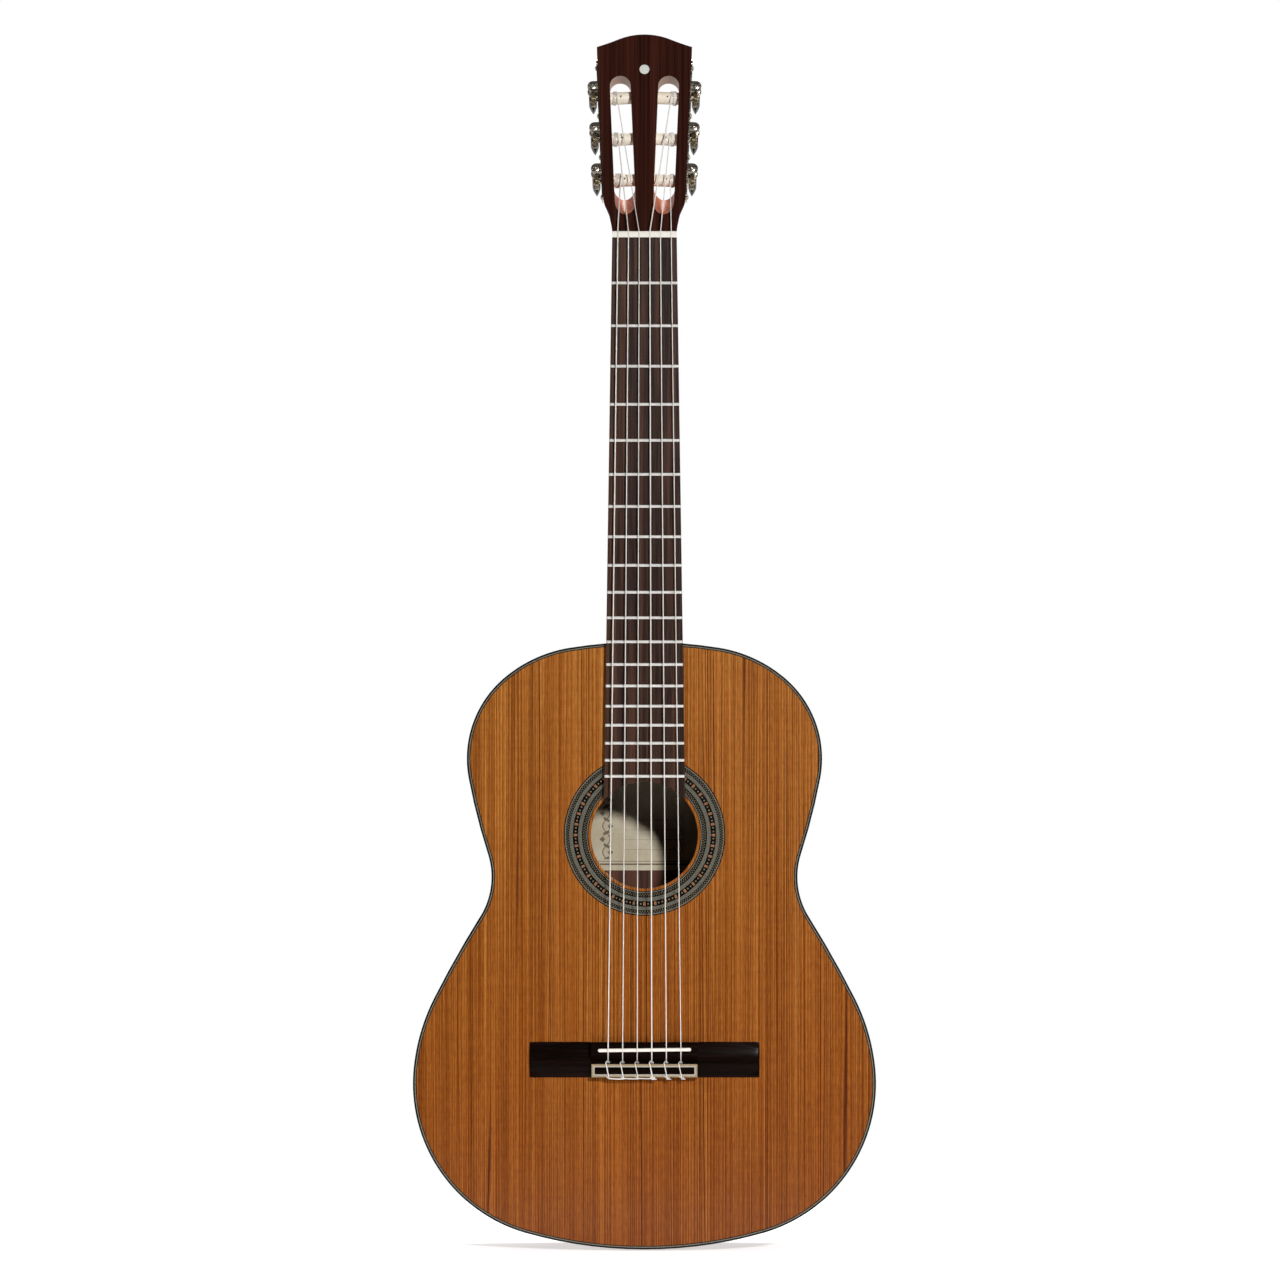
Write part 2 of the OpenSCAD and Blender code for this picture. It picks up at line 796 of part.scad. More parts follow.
// The radius of the string's own middle as it winds on
function round_r(i) = roller_r + string_r[i] + wrap_clear;

module string_hole(i) translate([wrap_x(i) - string_hole_in, 0, 0]) rotate([90, 0, 0])
  cylinder(r = string_hole_r, h = 2 * roller_r + 4 * cut_over, center = true);

gear_tooth_t = 0.85;
flank = tan(20);
gear_screw_r = 2.7;
gear_screw_h = 1.2;
gear_screw_floor = 0.6;
gear_socket_r = 1.1;
gear_shank_r = 1.05;
gear_shank_l = 1.15;
gear_seat_gap = 0.02;

module gear_shape() {
  circle(gear_root);
  for (k = [0:gear_teeth - 1]) rotate(k * 360 / gear_teeth + 90) intersection() {
    circle(gear_tip);
    polygon([[gear_root - 1, -gear_tooth_t / 2 - (pitch_r - gear_root + 1) * flank],
             [gear_tip + 1, -gear_tooth_t / 2 + (gear_tip + 1 - pitch_r) * flank],
             [gear_tip + 1, gear_tooth_t / 2 - (gear_tip + 1 - pitch_r) * flank],
             [gear_root - 1, gear_tooth_t / 2 + (pitch_r - gear_root + 1) * flank]]);
  }
}

// The gear with the post that it turns, and the screw that holds it
module gear(i) color("silver") on_roller(i) {
  gear_face = worm_x + gear_w / 2;
  difference() {
    union() {
      translate([worm_x - gear_w / 2, 0, 0]) rotate([90, 0, 90]) linear_extrude(gear_w) gear_shape();
      translate([-roller_in, 0, 0]) rotate([0, 90, 0]) cylinder(r = post_r, h = roller_in + worm_x);
    }
    string_hole(i);
    translate([gear_face - gear_screw_h, 0, 0]) rotate([0, 90, 0])
      cylinder(r = gear_socket_r, h = gear_screw_h + cut_over);
  }
  translate([gear_face + gear_seat_gap, 0, 0]) rotate([0, 90, 0]) difference() {
    union() {
      cylinder(r = gear_screw_r, h = gear_screw_h);
      translate([0, 0, -gear_shank_l]) cylinder(r = gear_shank_r, h = gear_shank_l + shaft_lap);
    }
    driver_slot(gear_screw_floor);
  }
}

thread_t = 0.9;
thread_turns = 3.2;
thread_steps = 20;

// A corner of the thread's section: how far out, and how far along from the middle of the ridge
thread_foot = worm_core + 0.04;
thread_corners = [[thread_foot, -thread_t / 2 - (worm_pitch_r - thread_foot) * flank],
                  [worm_crest, -thread_t / 2 + (worm_crest - worm_pitch_r) * flank],
                  [worm_crest, thread_t / 2 - (worm_crest - worm_pitch_r) * flank],
                  [thread_foot, thread_t / 2 + (worm_pitch_r - thread_foot) * flank]];

// A thread's ridge along z, right-handed for 1 and left-handed for -1. Its gap faces +x at the middle
module thread(hand) {
  n = round(thread_turns * thread_steps);
  points = [for (s = [0:n], c = thread_corners)
    let (turn = 360 * (s - n / 2) / thread_steps)
    [-c[0] * cos(turn), -hand * c[0] * sin(turn), thread_pitch * turn / 360 + c[1]]];
  faces = concat(
    [[0, 1, 2, 3]],
    [[for (k = [3:-1:0]) n * 4 + k]],
    [for (s = [0:n - 1], k = [0:3])
      [s * 4 + k, (s + 1) * 4 + k, (s + 1) * 4 + (k + 1) % 4, s * 4 + (k + 1) % 4]]);
  polyhedron(points, hand < 0 ? faces : [for (f = faces) [for (k = [len(f) - 1:-1:0]) f[k]]]);
}

// The worm's frame: z along the shaft from its middle, +x towards the gear
module on_worm(i) {
  on_roller(i) translate([worm_x, 0, worm_drop]) rotate([-90, 0, 0]) rotate([0, 0, 90]) children();
}

module worm(i) color("silver") on_worm(i) {
  lug_end = lug_gap / 2 + lug_t;
  throat_z = lug_end + collar_gap + collar_t - shaft_lap;
  stem_z = throat_z + throat_t - shaft_lap;
  button_z = button_start - roller_y;
  translate([0, 0, journal_inset - lug_end]) cylinder(r = journal_front, h = lug_t);
  translate([0, 0, -lug_gap / 2 - shaft_lap]) cylinder(r = worm_core, h = lug_gap + 2 * shaft_lap);
  thread(side_of(i));
  translate([0, 0, lug_gap / 2]) cylinder(r = journal_rear, h = lug_t + journal_past);
  translate([0, 0, lug_end + collar_gap]) cylinder(r = collar_r, h = collar_t);
  translate([0, 0, throat_z]) cylinder(r = throat_r, h = throat_t);
  translate([0, 0, stem_z]) cylinder(r = stem_r, h = button_z - stem_z);
  translate([0, 0, button_z - shaft_lap]) cylinder(r = spigot_r, h = spigot_l);
}

function button_edge(u) = button_half * pow(sin(180 * pow(u, button_skew)), button_full);

module button_outline() {
  edge = [for (k = [0:button_steps])
    let (u = button_foot + (1 - button_foot) * k / button_steps) [button_l * u, button_edge(u)]];
  polygon(concat(edge, [for (k = [button_steps:-1:0]) [edge[k][0], -edge[k][1]]]));
}

module button(i) color([0.08, 0.07, 0.06])
  on_roller(i) translate([worm_x, button_start - roller_y, worm_drop]) difference() {
    intersection() {
      across(-button_t / 2, button_t / 2) button_outline();
      button_lens();
    }
    rotate([-90, 0, 0]) cylinder(r = spigot_r, h = spigot_l + shaft_lap);
  }

// Both broad faces of the button are arched
module button_lens() intersection_for (s = [-1, 1])
  translate([s * (button_arch - button_t / 2), -cut_over, 0]) rotate([-90, 0, 0])
    cylinder(r = button_arch, h = button_l + 2 * cut_over);

// ---------------------------------------------------------------- strings

wire_sides = 8;

function unit(v) = v == [0, 0, 0] ? v : v / norm(v);

function direction(points, k) =
  unit(unit(points[k] - points[max(k - 1, 0)]) + unit(points[min(k + 1, len(points) - 1)] - points[k]));

// A wire of radius r along the points, which all lie nearly in a plane across X
module wire(points, r) {
  last = len(points) - 1;
  rings = [for (k = [0:last])
    let (d = direction(points, k), u = unit(cross(d, [1, 0, 0])), v = cross(d, u))
    each [for (s = [0:wire_sides - 1])
      let (f = 360 * s / wire_sides) points[k] + r * (cos(f) * u + sin(f) * v)]];
  n = wire_sides;
  polyhedron(rings, concat(
    [[for (s = [0:n - 1]) s]],
    [[for (s = [n - 1:-1:0]) last * n + s]],
    [for (k = [0:last - 1], s = [0:n - 1])
      [k * n + s, (k + 1) * n + s, (k + 1) * n + (s + 1) % n, k * n + (s + 1) % n]]));
}

// A point of the head's frame, of a side's frame
function head_point(p) = [p[0],
                          p[1] * cos(head_tilt) + p[2] * sin(head_tilt),
                          nut_l - p[1] * sin(head_tilt) + p[2] * cos(head_tilt)];
function side_point(p, side) = [side * (side_x + p[0] * cos(head_taper) + p[2] * sin(head_taper)),
                                p[1],
                                -p[0] * sin(head_taper) + p[2] * cos(head_taper)];

// How far past the roller's front the string first touches it
function lead(i) = let (y = roller_y - string_nut_y * cos(head_tilt),
                        z = roller_z[roller_of(i)] - string_nut_y * sin(head_tilt))
  atan2(y, z) - asin(round_r(i) / norm([y, z]));

// A point of the string's last wrap, at this angle past the roller's front
function on_wrap(i, turn) = head_point(side_point(
  [wrap_x(i), roller_y - round_r(i) * cos(turn), roller_z[roller_of(i)] + round_r(i) * sin(turn)],
  side_of(i)));

wrap_step = 14;

module string(i) color("whitesmoke") {
  r = string_r[i];
  x = string_x(i, saddle_spread);
  crown = saddle_z + x * tan(saddle_slant);
  over = tie_y - r - tie_gap;
  front = tie_z + tie_l + r + tie_front_gap;
  rear = tie_z - r - tie_gap;
  wraps_down = ceil((180 - lead(i)) / wrap_step);
  wire(concat(
    [for (k = [wraps_down:-1:0]) on_wrap(i, lead(i) + (180 - lead(i)) * k / wraps_down)],
    [[string_x(i, nut_spread), string_nut_y, nut_l], [string_x(i, nut_spread), string_nut_y, 0],
     [x, saddle_top_y - r, crown + saddle_t / 2], [x, saddle_top_y - r, crown - saddle_t / 2],
     [x, tie_hole_y, front], [x, tie_hole_y, rear],
     [x, over, rear], [x - tie_lean, over, front], [x - tie_lean, over + tie_end, front]]), r);
}

// ---------------------------------------------------------------- the assembly

// Moves a part from the soundboard's plane to the origin on the neck's back
module placed() translate([0, -neck_depth, 0]) children();

placed() soundboard();
placed() rosette();
placed() top_purfling();
placed() top_binding();
placed() ribs();
placed() end_graft();
placed() back_plate();
placed() back_binding();
placed() linings();
placed() top_braces();
placed() bridge_patch();
placed() back_braces();
placed() neck_block();
placed() tail_block();
placed() label();
placed() bridge();
placed() tie_block_edging();
placed() saddle();
placed() nut();
placed() neck();
placed() heel();
placed() heel_cap();
placed() headstock();
placed() head_veneer();
placed() head_inlay();
placed() fingerboard();
placed() frets();
placed() tuner_plate(1);  // tuner_plate_treble
placed() tuner_plate(-1);  // tuner_plate_bass
placed() plate_screws();
for (i = [0:5]) {
  placed() string(i);
  placed() roller(i);
  placed() gear(i);
  placed() worm(i);
  placed() button(i);
}
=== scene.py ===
from math import asin, atan, atan2, ceil, copysign, cos, degrees, exp, hypot, pi, radians, sin, sqrt, tan

import bmesh
import bpy
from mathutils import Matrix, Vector


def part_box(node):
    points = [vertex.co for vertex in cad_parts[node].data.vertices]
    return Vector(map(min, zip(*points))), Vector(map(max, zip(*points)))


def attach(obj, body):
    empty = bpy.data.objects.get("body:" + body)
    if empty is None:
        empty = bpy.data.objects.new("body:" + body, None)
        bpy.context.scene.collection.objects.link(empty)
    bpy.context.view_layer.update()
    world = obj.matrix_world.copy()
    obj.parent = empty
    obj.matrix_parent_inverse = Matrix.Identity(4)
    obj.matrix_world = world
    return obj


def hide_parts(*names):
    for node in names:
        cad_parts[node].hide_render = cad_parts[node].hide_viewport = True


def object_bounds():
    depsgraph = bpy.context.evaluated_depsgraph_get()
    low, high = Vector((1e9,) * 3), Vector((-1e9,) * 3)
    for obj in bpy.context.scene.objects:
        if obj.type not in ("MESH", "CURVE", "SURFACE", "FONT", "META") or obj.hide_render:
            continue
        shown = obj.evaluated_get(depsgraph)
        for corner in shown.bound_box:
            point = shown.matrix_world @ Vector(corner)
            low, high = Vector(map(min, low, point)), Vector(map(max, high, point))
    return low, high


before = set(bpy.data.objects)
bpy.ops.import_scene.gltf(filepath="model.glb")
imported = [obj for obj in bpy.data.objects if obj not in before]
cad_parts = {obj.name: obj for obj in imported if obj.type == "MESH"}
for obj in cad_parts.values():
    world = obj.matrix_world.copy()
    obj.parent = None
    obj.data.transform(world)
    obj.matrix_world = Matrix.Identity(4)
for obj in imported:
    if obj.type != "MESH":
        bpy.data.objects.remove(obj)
CAD_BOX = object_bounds()

# ---- driving sizes, in mm
# x is across the guitar, y goes back from the soundboard's front, and z runs up from the nut.

MM = 0.001
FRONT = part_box("soundboard")[0][1] / MM
SCALE_LENGTH = 650.0
NUT_SPREAD, SADDLE_SPREAD = 43.0, 58.5
NUT_W, HEEL_W = 52.0, 61.5
NUT_L, NUT_H = 5.0, 3.1
BOARD_T = 6.0
FRETS = 19
FRET_CROWN, FRET_W, FRET_ROUND = 1.1, 2.2, 1.3
BODY_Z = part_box("top_binding")[1][2] / MM
TAIL_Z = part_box("top_binding")[0][2] / MM
BODY_L = BODY_Z - TAIL_Z
HOLE_Z, HOLE_R = BODY_Z - 155.5, 43.0
DEPTH_HEEL, DEPTH_TAIL, BACK_ARCH = 91.0, 96.0, 2800.0
TOP_T, BACK_T, RIB_T = 2.5, 2.5, 2.2
BIND_W, BIND_H = 1.4, 5.0
PURF_W, PURF_LINE, PURF_T = 1.5, 0.8, 1.2
ROSETTE_IN, ROSETTE_OUT, ROSETTE_T = 45.3, 65.0, 1.0
PROUD = 0.02                        # how far inlays stand out, and the back reaches under its binding
CLEAR = 0.06                        # between a string and its sleeve or nut slot, and a sleeve and its bore
STRIP_HALF, BACK_STEPS = 3.0, 14
SADDLE_Z = -SCALE_LENGTH - 3.0
TREBLE, BASS = 1, -1
STRING_R = [0.36, 0.41, 0.51, 0.38, 0.45, 0.54]
WRAP_OUT = [4.4, 2.6, 2.6, 3.1, 3.5, 2.9]
WRAPS = 3
STRING_NUT_Y = -BOARD_T - NUT_H + 0.35
SADDLE_TOP = -12.0

# The body's half outline from the heel to the tail: each arc's radius and sweep in degrees
BOUT_ARCS = [(380, 9.1), (108, 31.5), (85, 60), (493, 7.3), (-61, 50), (812, 5.3), (160, 21), (125, 80)]

# Head, in its own frame: z along the face from the nut, y into the wood from under the veneer
HEAD_TILT = radians(15)
TAPER = radians(2.4)
HEAD_L, HEAD_T, VENEER_T = 167.0, 17.0, 2.5
SIDE_X, SLOT_X, SLOT_W = 32.0, 14.4, 16.8
SLOT_LOW, SLOT_HIGH = 33.0, 131.5
RAMP_Z, RAMP_LEAN = 14.0, radians(43)
INLAY_Z, INLAY_R = 137.0, 4.0
CREST_R, CREST_HALF, SHOULDER_R, SHOULDER_DROP = 54.0, 21.0, 200.0, 10.71
NECK_CURVE = [(26, 0), (26.5, 4), (27.3, 8), (28.6, 14), (31.4, 20.5), (32.6, 24)]
SIDE_LOW = 27.5

# Tuners, in the frame of the head's side: x outwards, y into the wood, z along the side
ROLLER_Z = [45.0, 80.0, 115.0]
ROLLER_Y, ROLLER_R, ROLLER_IN, POST_R = 7.5, 5.0, 31.5, 2.05
WORM_X, WORM_DROP = 4.6, 8.65
WORM_PITCH, WORM_CORE, WORM_CREST = 2.670, 1.9, 3.4
WORM_STEPS, WORM_TURNS = 36, 3.2
LUG_IN, LUG_OUT = 5.5, 8.0
# The worm's shaft as (how far along, radius): end screw, journal, core, journal, collars and stem
WORM_PROFILE = [
    (-LUG_OUT + 0.5, 0.9), (-LUG_OUT + 0.35, 1.1), (-LUG_OUT + 0.42, 1.7), (-LUG_OUT + 0.6, 2.2),
    (-LUG_OUT + 0.95, 2.4), (-LUG_IN + 0.3, 2.4), (-LUG_IN + 0.5, 2.2), (-LUG_IN + 0.5, WORM_CORE),
    (LUG_IN - 0.05, WORM_CORE), (LUG_IN - 0.05, 2.0), (LUG_OUT + 0.35, 2.0), (LUG_OUT + 0.35, 3.3),
    (LUG_OUT + 0.6, 3.6), (LUG_OUT + 1.6, 3.6), (LUG_OUT + 1.9, 3.2), (LUG_OUT + 2.0, 2.4),
    (LUG_OUT + 3.1, 2.4), (LUG_OUT + 3.4, 3.0), (LUG_OUT + 3.8, 3.2), (16.4, 3.0), (17.0, 2.6)]
BUTTON_START, BUTTON_L, BUTTON_HALF, BUTTON_T, BUTTON_ARCH = 24.5, 24.0, 12.0, 6.6, 24.0
BUTTON_STEPS = 36


# ---- frames


def spot(p):
    """A point in mm from the soundboard's front, as metres in the row frame."""
    return (p[0] * MM, (p[1] + FRONT) * MM, p[2] * MM)


def head_point(p):
    s, c = sin(HEAD_TILT), cos(HEAD_TILT)
    return (p[0], p[1] * c + p[2] * s, NUT_L - p[1] * s + p[2] * c)


def side_point(p, side):
    s, c = sin(TAPER), cos(TAPER)
    return (side * (SIDE_X + p[0] * c + p[2] * s), p[1], -p[0] * s + p[2] * c)


def side_of(i):
    return TREBLE if i < 3 else BASS


def roller_of(i):
    return i if i < 3 else 5 - i


def on_roller(i):
    """Places points measured from roller i's axis: along it outwards, into the wood, and up the head."""
    def place(p):
        q = (p[0], ROLLER_Y + p[1], ROLLER_Z[roller_of(i)] + p[2])
        return head_point(side_point(q, side_of(i)))
    return place


# ---- mesh helpers

SMOOTH = radians(38)


def sweep(start, stop, steps):
    """steps + 1 values from start to stop."""
    return [start + (stop - start) * k / steps for k in range(steps + 1)]


def piece(name, verts, faces, mats, place=None, index=None, smooth=SMOOTH):
    """A mesh object from points in mm. mats is a name in MAT, or materials that index picks from."""
    mesh = bpy.data.meshes.new(name)
    mesh.from_pydata([spot(place(v) if place else v) for v in verts], [], faces)
    for m in [MAT[mats]] if isinstance(mats, str) else mats:
        mesh.materials.append(m)
    if index:
        mesh.polygons.foreach_set("material_index", index)
    bm = bmesh.new()
    bm.from_mesh(mesh)
    bmesh.ops.remove_doubles(bm, verts=bm.verts, dist=1e-7)
    bmesh.ops.recalc_face_normals(bm, faces=bm.faces)
    bm.to_mesh(mesh)
    bm.free()
    obj = bpy.data.objects.new(name, mesh)
    bpy.context.scene.collection.objects.link(obj)
    soften(obj, smooth)
    return obj


def soften(obj, angle=SMOOTH):
    obj.data.polygons.foreach_set("use_smooth", [True] * len(obj.data.polygons))
    obj.data.set_sharp_from_angle(angle=angle)


def settle(obj, angle=SMOOTH):
    """Turns the object's modifiers into plain mesh."""
    graph = bpy.context.evaluated_depsgraph_get()
    mesh = bpy.data.meshes.new_from_object(obj.evaluated_get(graph))
    obj.modifiers.clear()
    obj.data = mesh
    soften(obj, angle)


def carve(obj, cutters, operation="DIFFERENCE"):
    for c in cutters:
        m = obj.modifiers.new("cut", "BOOLEAN")
        m.object, m.operation, m.solver, m.material_mode = c, operation, "EXACT", "TRANSFER"
    settle(obj)
    for c in cutters:
        bpy.data.objects.remove(c)


def round_edges(obj, width, segments=2, angle=35):
    m = obj.modifiers.new("edge", "BEVEL")
    m.width, m.segments, m.limit_method = width * MM, segments, "ANGLE"
    m.angle_limit = radians(angle)
    m.miter_outer = "MITER_ARC"
    settle(obj, radians(50))


def loft(rings, loop=False):
    """Faces through closed rings of the same count, led back to the first ring, or else capped."""
    n, count = len(rings[0]), len(rings)
    verts = [p for ring in rings for p in ring]
    faces = []
    for s in range(count if loop else count - 1):
        a, b = s * n, (s + 1) % count * n
        for k in range(n):
            j = (k + 1) % n
            faces.append((a + k, a + j, b + j, b + k))
    if not loop:
        faces += [tuple(range(n - 1, -1, -1)), tuple(range((count - 1) * n, count * n))]
    return verts, faces


def solid(name, rings, mats, place=None, loop=False, **more):
    return piece(name, *loft(rings, loop), mats, place, **more)


def bar(name, half, loop, bevel, mats):
    """A bar along x, half to each side, whose (y, z) section is the loop, with its edges rounded."""
    obj = solid(name, [[(x, y, z) for y, z in loop] for x in (-half, half)], mats)
    round_edges(obj, bevel, 3)
    return obj


def turn(sides):
    return [2 * pi * k / sides for k in range(sides)]


def inset_loop(loop, d):
    """A closed (x, z) loop moved inwards by d, with mitred corners."""
    area = sum(a[0] * b[1] - b[0] * a[1] for a, b in zip(loop, loop[1:] + loop[:1]))
    way = 1 if area > 0 else -1
    out = []
    for k, p in enumerate(loop):
        q, r = Vector(loop[k - 1]), Vector(loop[(k + 1) % len(loop)])
        p = Vector(p)
        a, b = (p - q).normalized(), (r - p).normalized()
        na, nb = Vector((-a.y, a.x)) * way, Vector((-b.y, b.x)) * way
        m = (na + nb).normalized()
        out.append(tuple(p + m * d / max(0.3, m.dot(na))))
    return out


def plate(name, loop, profile, mats, place=None):
    """A slab with this (x, z) outline; profile holds (inset, y) from its front face to its back face."""
    return solid(name, [[(x, y, z) for x, z in inset_loop(loop, d)] for d, y in profile], mats, place)


def corner(r):
    """A rounded edge as (inset, depth), from the front face out to the side."""
    return [(r * (1 - sin(t)), r * (1 - cos(t))) for t in sweep(0, pi / 2, 4)]


def rim_profile(front, back, r):
    """An (inset, y) profile from front to back with the front edge rounded by r."""
    return [(a, front + b) for a, b in corner(r)] + [(0, back)]


def tube(name, points, radius, mats, sides, place=None):
    """A round wire along a path. Its section is carried along the path without twist."""
    pts = [Vector(p) for p in points]
    rings, side = [], None
    for k, p in enumerate(pts):
        d = (pts[min(k + 1, len(pts) - 1)] - pts[max(k - 1, 0)]).normalized()
        if side is None:
            side = d.orthogonal().normalized()
        side = (side - d * side.dot(d)).normalized()
        up = d.cross(side)
        rings.append([tuple(p + radius * (cos(t) * side + sin(t) * up)) for t in turn(sides)])
    return solid(name, rings, mats, place)


def curve_through(points, steps=6):
    """A smooth path through points (Catmull-Rom)."""
    pts = [Vector(p) for p in points]
    pts = [pts[0] * 2 - pts[1]] + pts + [pts[-1] * 2 - pts[-2]]
    out = []
    for a, b, c, d in zip(pts, pts[1:], pts[2:], pts[3:]):
        for k in range(steps):
            t = k / steps
            out.append(0.5 * (2 * b + (c - a) * t + (2 * a - 5 * b + 4 * c - d) * t * t
                              + (3 * b - a - 3 * c + d) * t ** 3))
    return out + [pts[-2]]


def hand_over(obj, body, slot=None, *nodes):
    """The piece rides on a body and stands for CAD nodes. Its slot argument is not used."""
    m = obj.modifiers.new("normals", "WEIGHTED_NORMAL")
    m.keep_sharp = True
    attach(obj, body)
    if nodes:
        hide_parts(*nodes)
    return obj


# ---- material helpers


def rgb(code):
    """A screen colour, as six hex digits, in the light that a shader works in."""
    def light(v):
        return v / 12.92 if v <= 0.04045 else ((v + 0.055) / 1.055) ** 2.4
    return tuple(light(int(code[k:k + 2], 16) / 255) for k in (0, 2, 4)) + (1.0,)


class Value:
    """A number inside a shader, so that a pattern reads as plain sums."""

    def __init__(self, nodes, socket):
        self.nodes, self.socket = nodes, socket

    def __add__(self, other):
        return self.nodes.math("ADD", self, other)

    def __radd__(self, other):
        return self.nodes.math("ADD", other, self)

    def __sub__(self, other):
        return self.nodes.math("SUBTRACT", self, other)

    def __rsub__(self, other):
        return self.nodes.math("SUBTRACT", other, self)

    def __mul__(self, other):
        return self.nodes.math("MULTIPLY", self, other)

    def __truediv__(self, other):
        return self.nodes.math("DIVIDE", self, other)

    def __abs__(self):
        return self.nodes.math("ABSOLUTE", self)

    def sine(self):
        return self.nodes.math("SINE", self)


class Nodes:
    """Adds nodes to a tree. What feeds an input is a number, a colour in hex digits, a Value or an output."""

    def __init__(self, tree):
        self.tree = tree

    def feed(self, socket, value):
        if isinstance(value, Value):
            value = value.socket
        if isinstance(value, bpy.types.NodeSocket):
            self.tree.links.new(value, socket)
        else:
            socket.default_value = rgb(value) if isinstance(value, str) else value

    def add(self, kind, inputs, **settings):
        node = self.tree.nodes.new("ShaderNode" + kind)
        for key, value in settings.items():
            setattr(node, key, value)
        for key, value in inputs.items():
            self.feed(node.inputs[key], value)
        return node

    def math(self, op, a, b=0.0):
        return Value(self, self.add("Math", {0: a, 1: b}, operation=op).outputs[0])

    def band(self, value, low, high, start=0.0, stop=1.0):
        """start below low, stop above high, and straight between."""
        ends = {"Value": value, "From Min": low, "From Max": high, "To Min": start, "To Max": stop}
        return Value(self, self.add("MapRange", ends).outputs[0])


MAT = {}


class Shade(Nodes):
    """A material under construction. Its coordinates are in mm, in the row frame."""

    def __init__(self, name, rough=0.5, spec=0.5, metal=0.0, coat=0.0, coat_rough=0.1):
        self.mat = bpy.data.materials.new(name)
        self.mat.use_nodes = True
        self.name = name
        super().__init__(self.mat.node_tree)
        self.bsdf = self.tree.nodes["Principled BSDF"]
        for socket, value in (("Roughness", rough), ("Specular IOR Level", spec), ("Metallic", metal),
                              ("Coat Weight", coat), ("Coat Roughness", coat_rough)):
            self.feed(self.bsdf.inputs[socket], value)
        coord = self.add("TexCoord", {})
        grow = self.add("VectorMath", {0: coord.outputs["Object"], "Scale": 1 / MM}, operation="SCALE")
        self.here = grow.outputs[0]
        split = self.add("SeparateXYZ", {0: self.here})
        self.x, self.y, self.z = [Value(self, out) for out in split.outputs]

    def vector(self, x, y, z):
        return self.add("CombineXYZ", {0: x, 1: y, 2: z}).outputs[0]

    def noise(self, pitch, detail=2.0, rough=0.5):
        """Noise along a vector, or with one unit of its pattern over each of three lengths in mm."""
        if isinstance(pitch, tuple):
            scale = tuple(1 / length for length in pitch)
            pitch = self.add("VectorMath", {0: self.here, 1: scale}, operation="MULTIPLY").outputs[0]
        inputs = {"Vector": pitch, "Scale": 1.0, "Detail": detail, "Roughness": rough}
        return Value(self, self.add("TexNoise", inputs).outputs["Fac"])

    def ramp(self, value, *stops):
        node = self.add("ValToRGB", {0: value})
        marks = node.color_ramp.elements
        while len(marks) < len(stops):
            marks.new(0.5)
        for mark, (at, colour) in zip(marks, stops):
            mark.position = at
            mark.color = rgb(colour)
        return node.outputs[0]

    def mix(self, factor, a, b, blend="MIX"):
        return self.add("Mix", {0: factor, 6: a, 7: b}, data_type="RGBA", blend_type=blend).outputs[2]

    def finish(self, colour, pattern=None, rough=None, bump=0.0, strength=0.5):
        """Sets the colour. The pattern spreads the roughness over a range and raises a relief of bump mm."""
        self.feed(self.bsdf.inputs["Base Color"], colour)
        if rough:
            self.feed(self.bsdf.inputs["Roughness"], self.band(pattern, 0.3, 0.7, *rough))
        if bump:
            node = self.add("Bump", {"Distance": bump * MM, "Strength": strength, "Height": pattern})
            self.feed(self.bsdf.inputs["Normal"], node.outputs[0])
        MAT[self.name] = self.mat
        return self.mat


# ---- woods


def wood(name, dark, mid, light, pitch, wide=(9, 9, 500), rough=(0.3, 0.42), coat=0.0, contrast=0.5, spec=0.5,
         bump=0.015):
    """Straight-grained wood: fine lines a few tenths to a few mm apart, over slow bands of colour."""
    s = Shade(name, spec=spec, coat=coat, coat_rough=0.18)
    fine = s.noise(pitch, 3, 0.6)
    slow = s.noise(wide, 3, 0.55)
    base = s.ramp(fine, (0.34, dark), (0.5, mid), (0.68, light))
    tint = s.ramp(slow, (0.34, dark), (0.5, mid), (0.66, light))
    return s.finish(s.mix(contrast, base, tint), fine, rough, bump, 0.6)


WHITE = "ffffff"
GRAIN_PITCH, GRAIN_DRIFT = 1.7, 9.0
VINE_BEND, LEAF_PITCH = 3.4, 5.34


def cedar():
    """Golden-brown top: even, narrow grain lines, slow bands of colour, and a fine silk across them."""
    s = Shade("cedar", spec=0.16, coat=0.06)
    fine = s.noise((0.6, 60, 420), 2, 0.6)
    drift = s.noise((14, 60, 1200))
    depth = s.noise((5, 60, 500))
    slow = s.noise((48, 60, 900))
    silk = s.noise((26, 60, 3.4), 3, 0.6)
    dash = s.noise((0.7, 60, 7), 3, 0.65)
    base = s.ramp(fine, (0.33, "854b15"), (0.5, "b46e28"), (0.66, "cc8c42"))
    wave = (s.x / GRAIN_PITCH + drift * GRAIN_DRIFT) * (2 * pi)
    line = s.band(wave.sine(), 0.1, 1.0) * s.band(depth, 0.3, 0.62)
    base = s.mix(line, base, "5c2a06")
    for share, noise, low, high, dark in (
            (0.7, slow, 0.36, 0.64, "ece4d8"), (0.5, silk, 0.35, 0.62, "ece4da"),
            (0.8, dash, 0.34, 0.6, "d6c4ac")):
        base = s.mix(share, base, s.ramp(noise, (low, dark), (high, WHITE)), "MULTIPLY")
    # Painted shade: the top is drawn darker towards the tail, where the key light from above falls more
    # weakly.
    painted_shade_towards_tail = s.band(s.z, TAIL_Z, BODY_Z)
    base = s.mix(1.0, base, s.ramp(painted_shade_towards_tail, (0.0, "c8b094"), (1.0, WHITE)), "MULTIPLY")
    joint = s.band(abs(s.x), 1.1, 0.2) * 0.25
    return s.finish(s.mix(joint, base, "602c0c"), fine, (0.22, 0.32), 0.02)


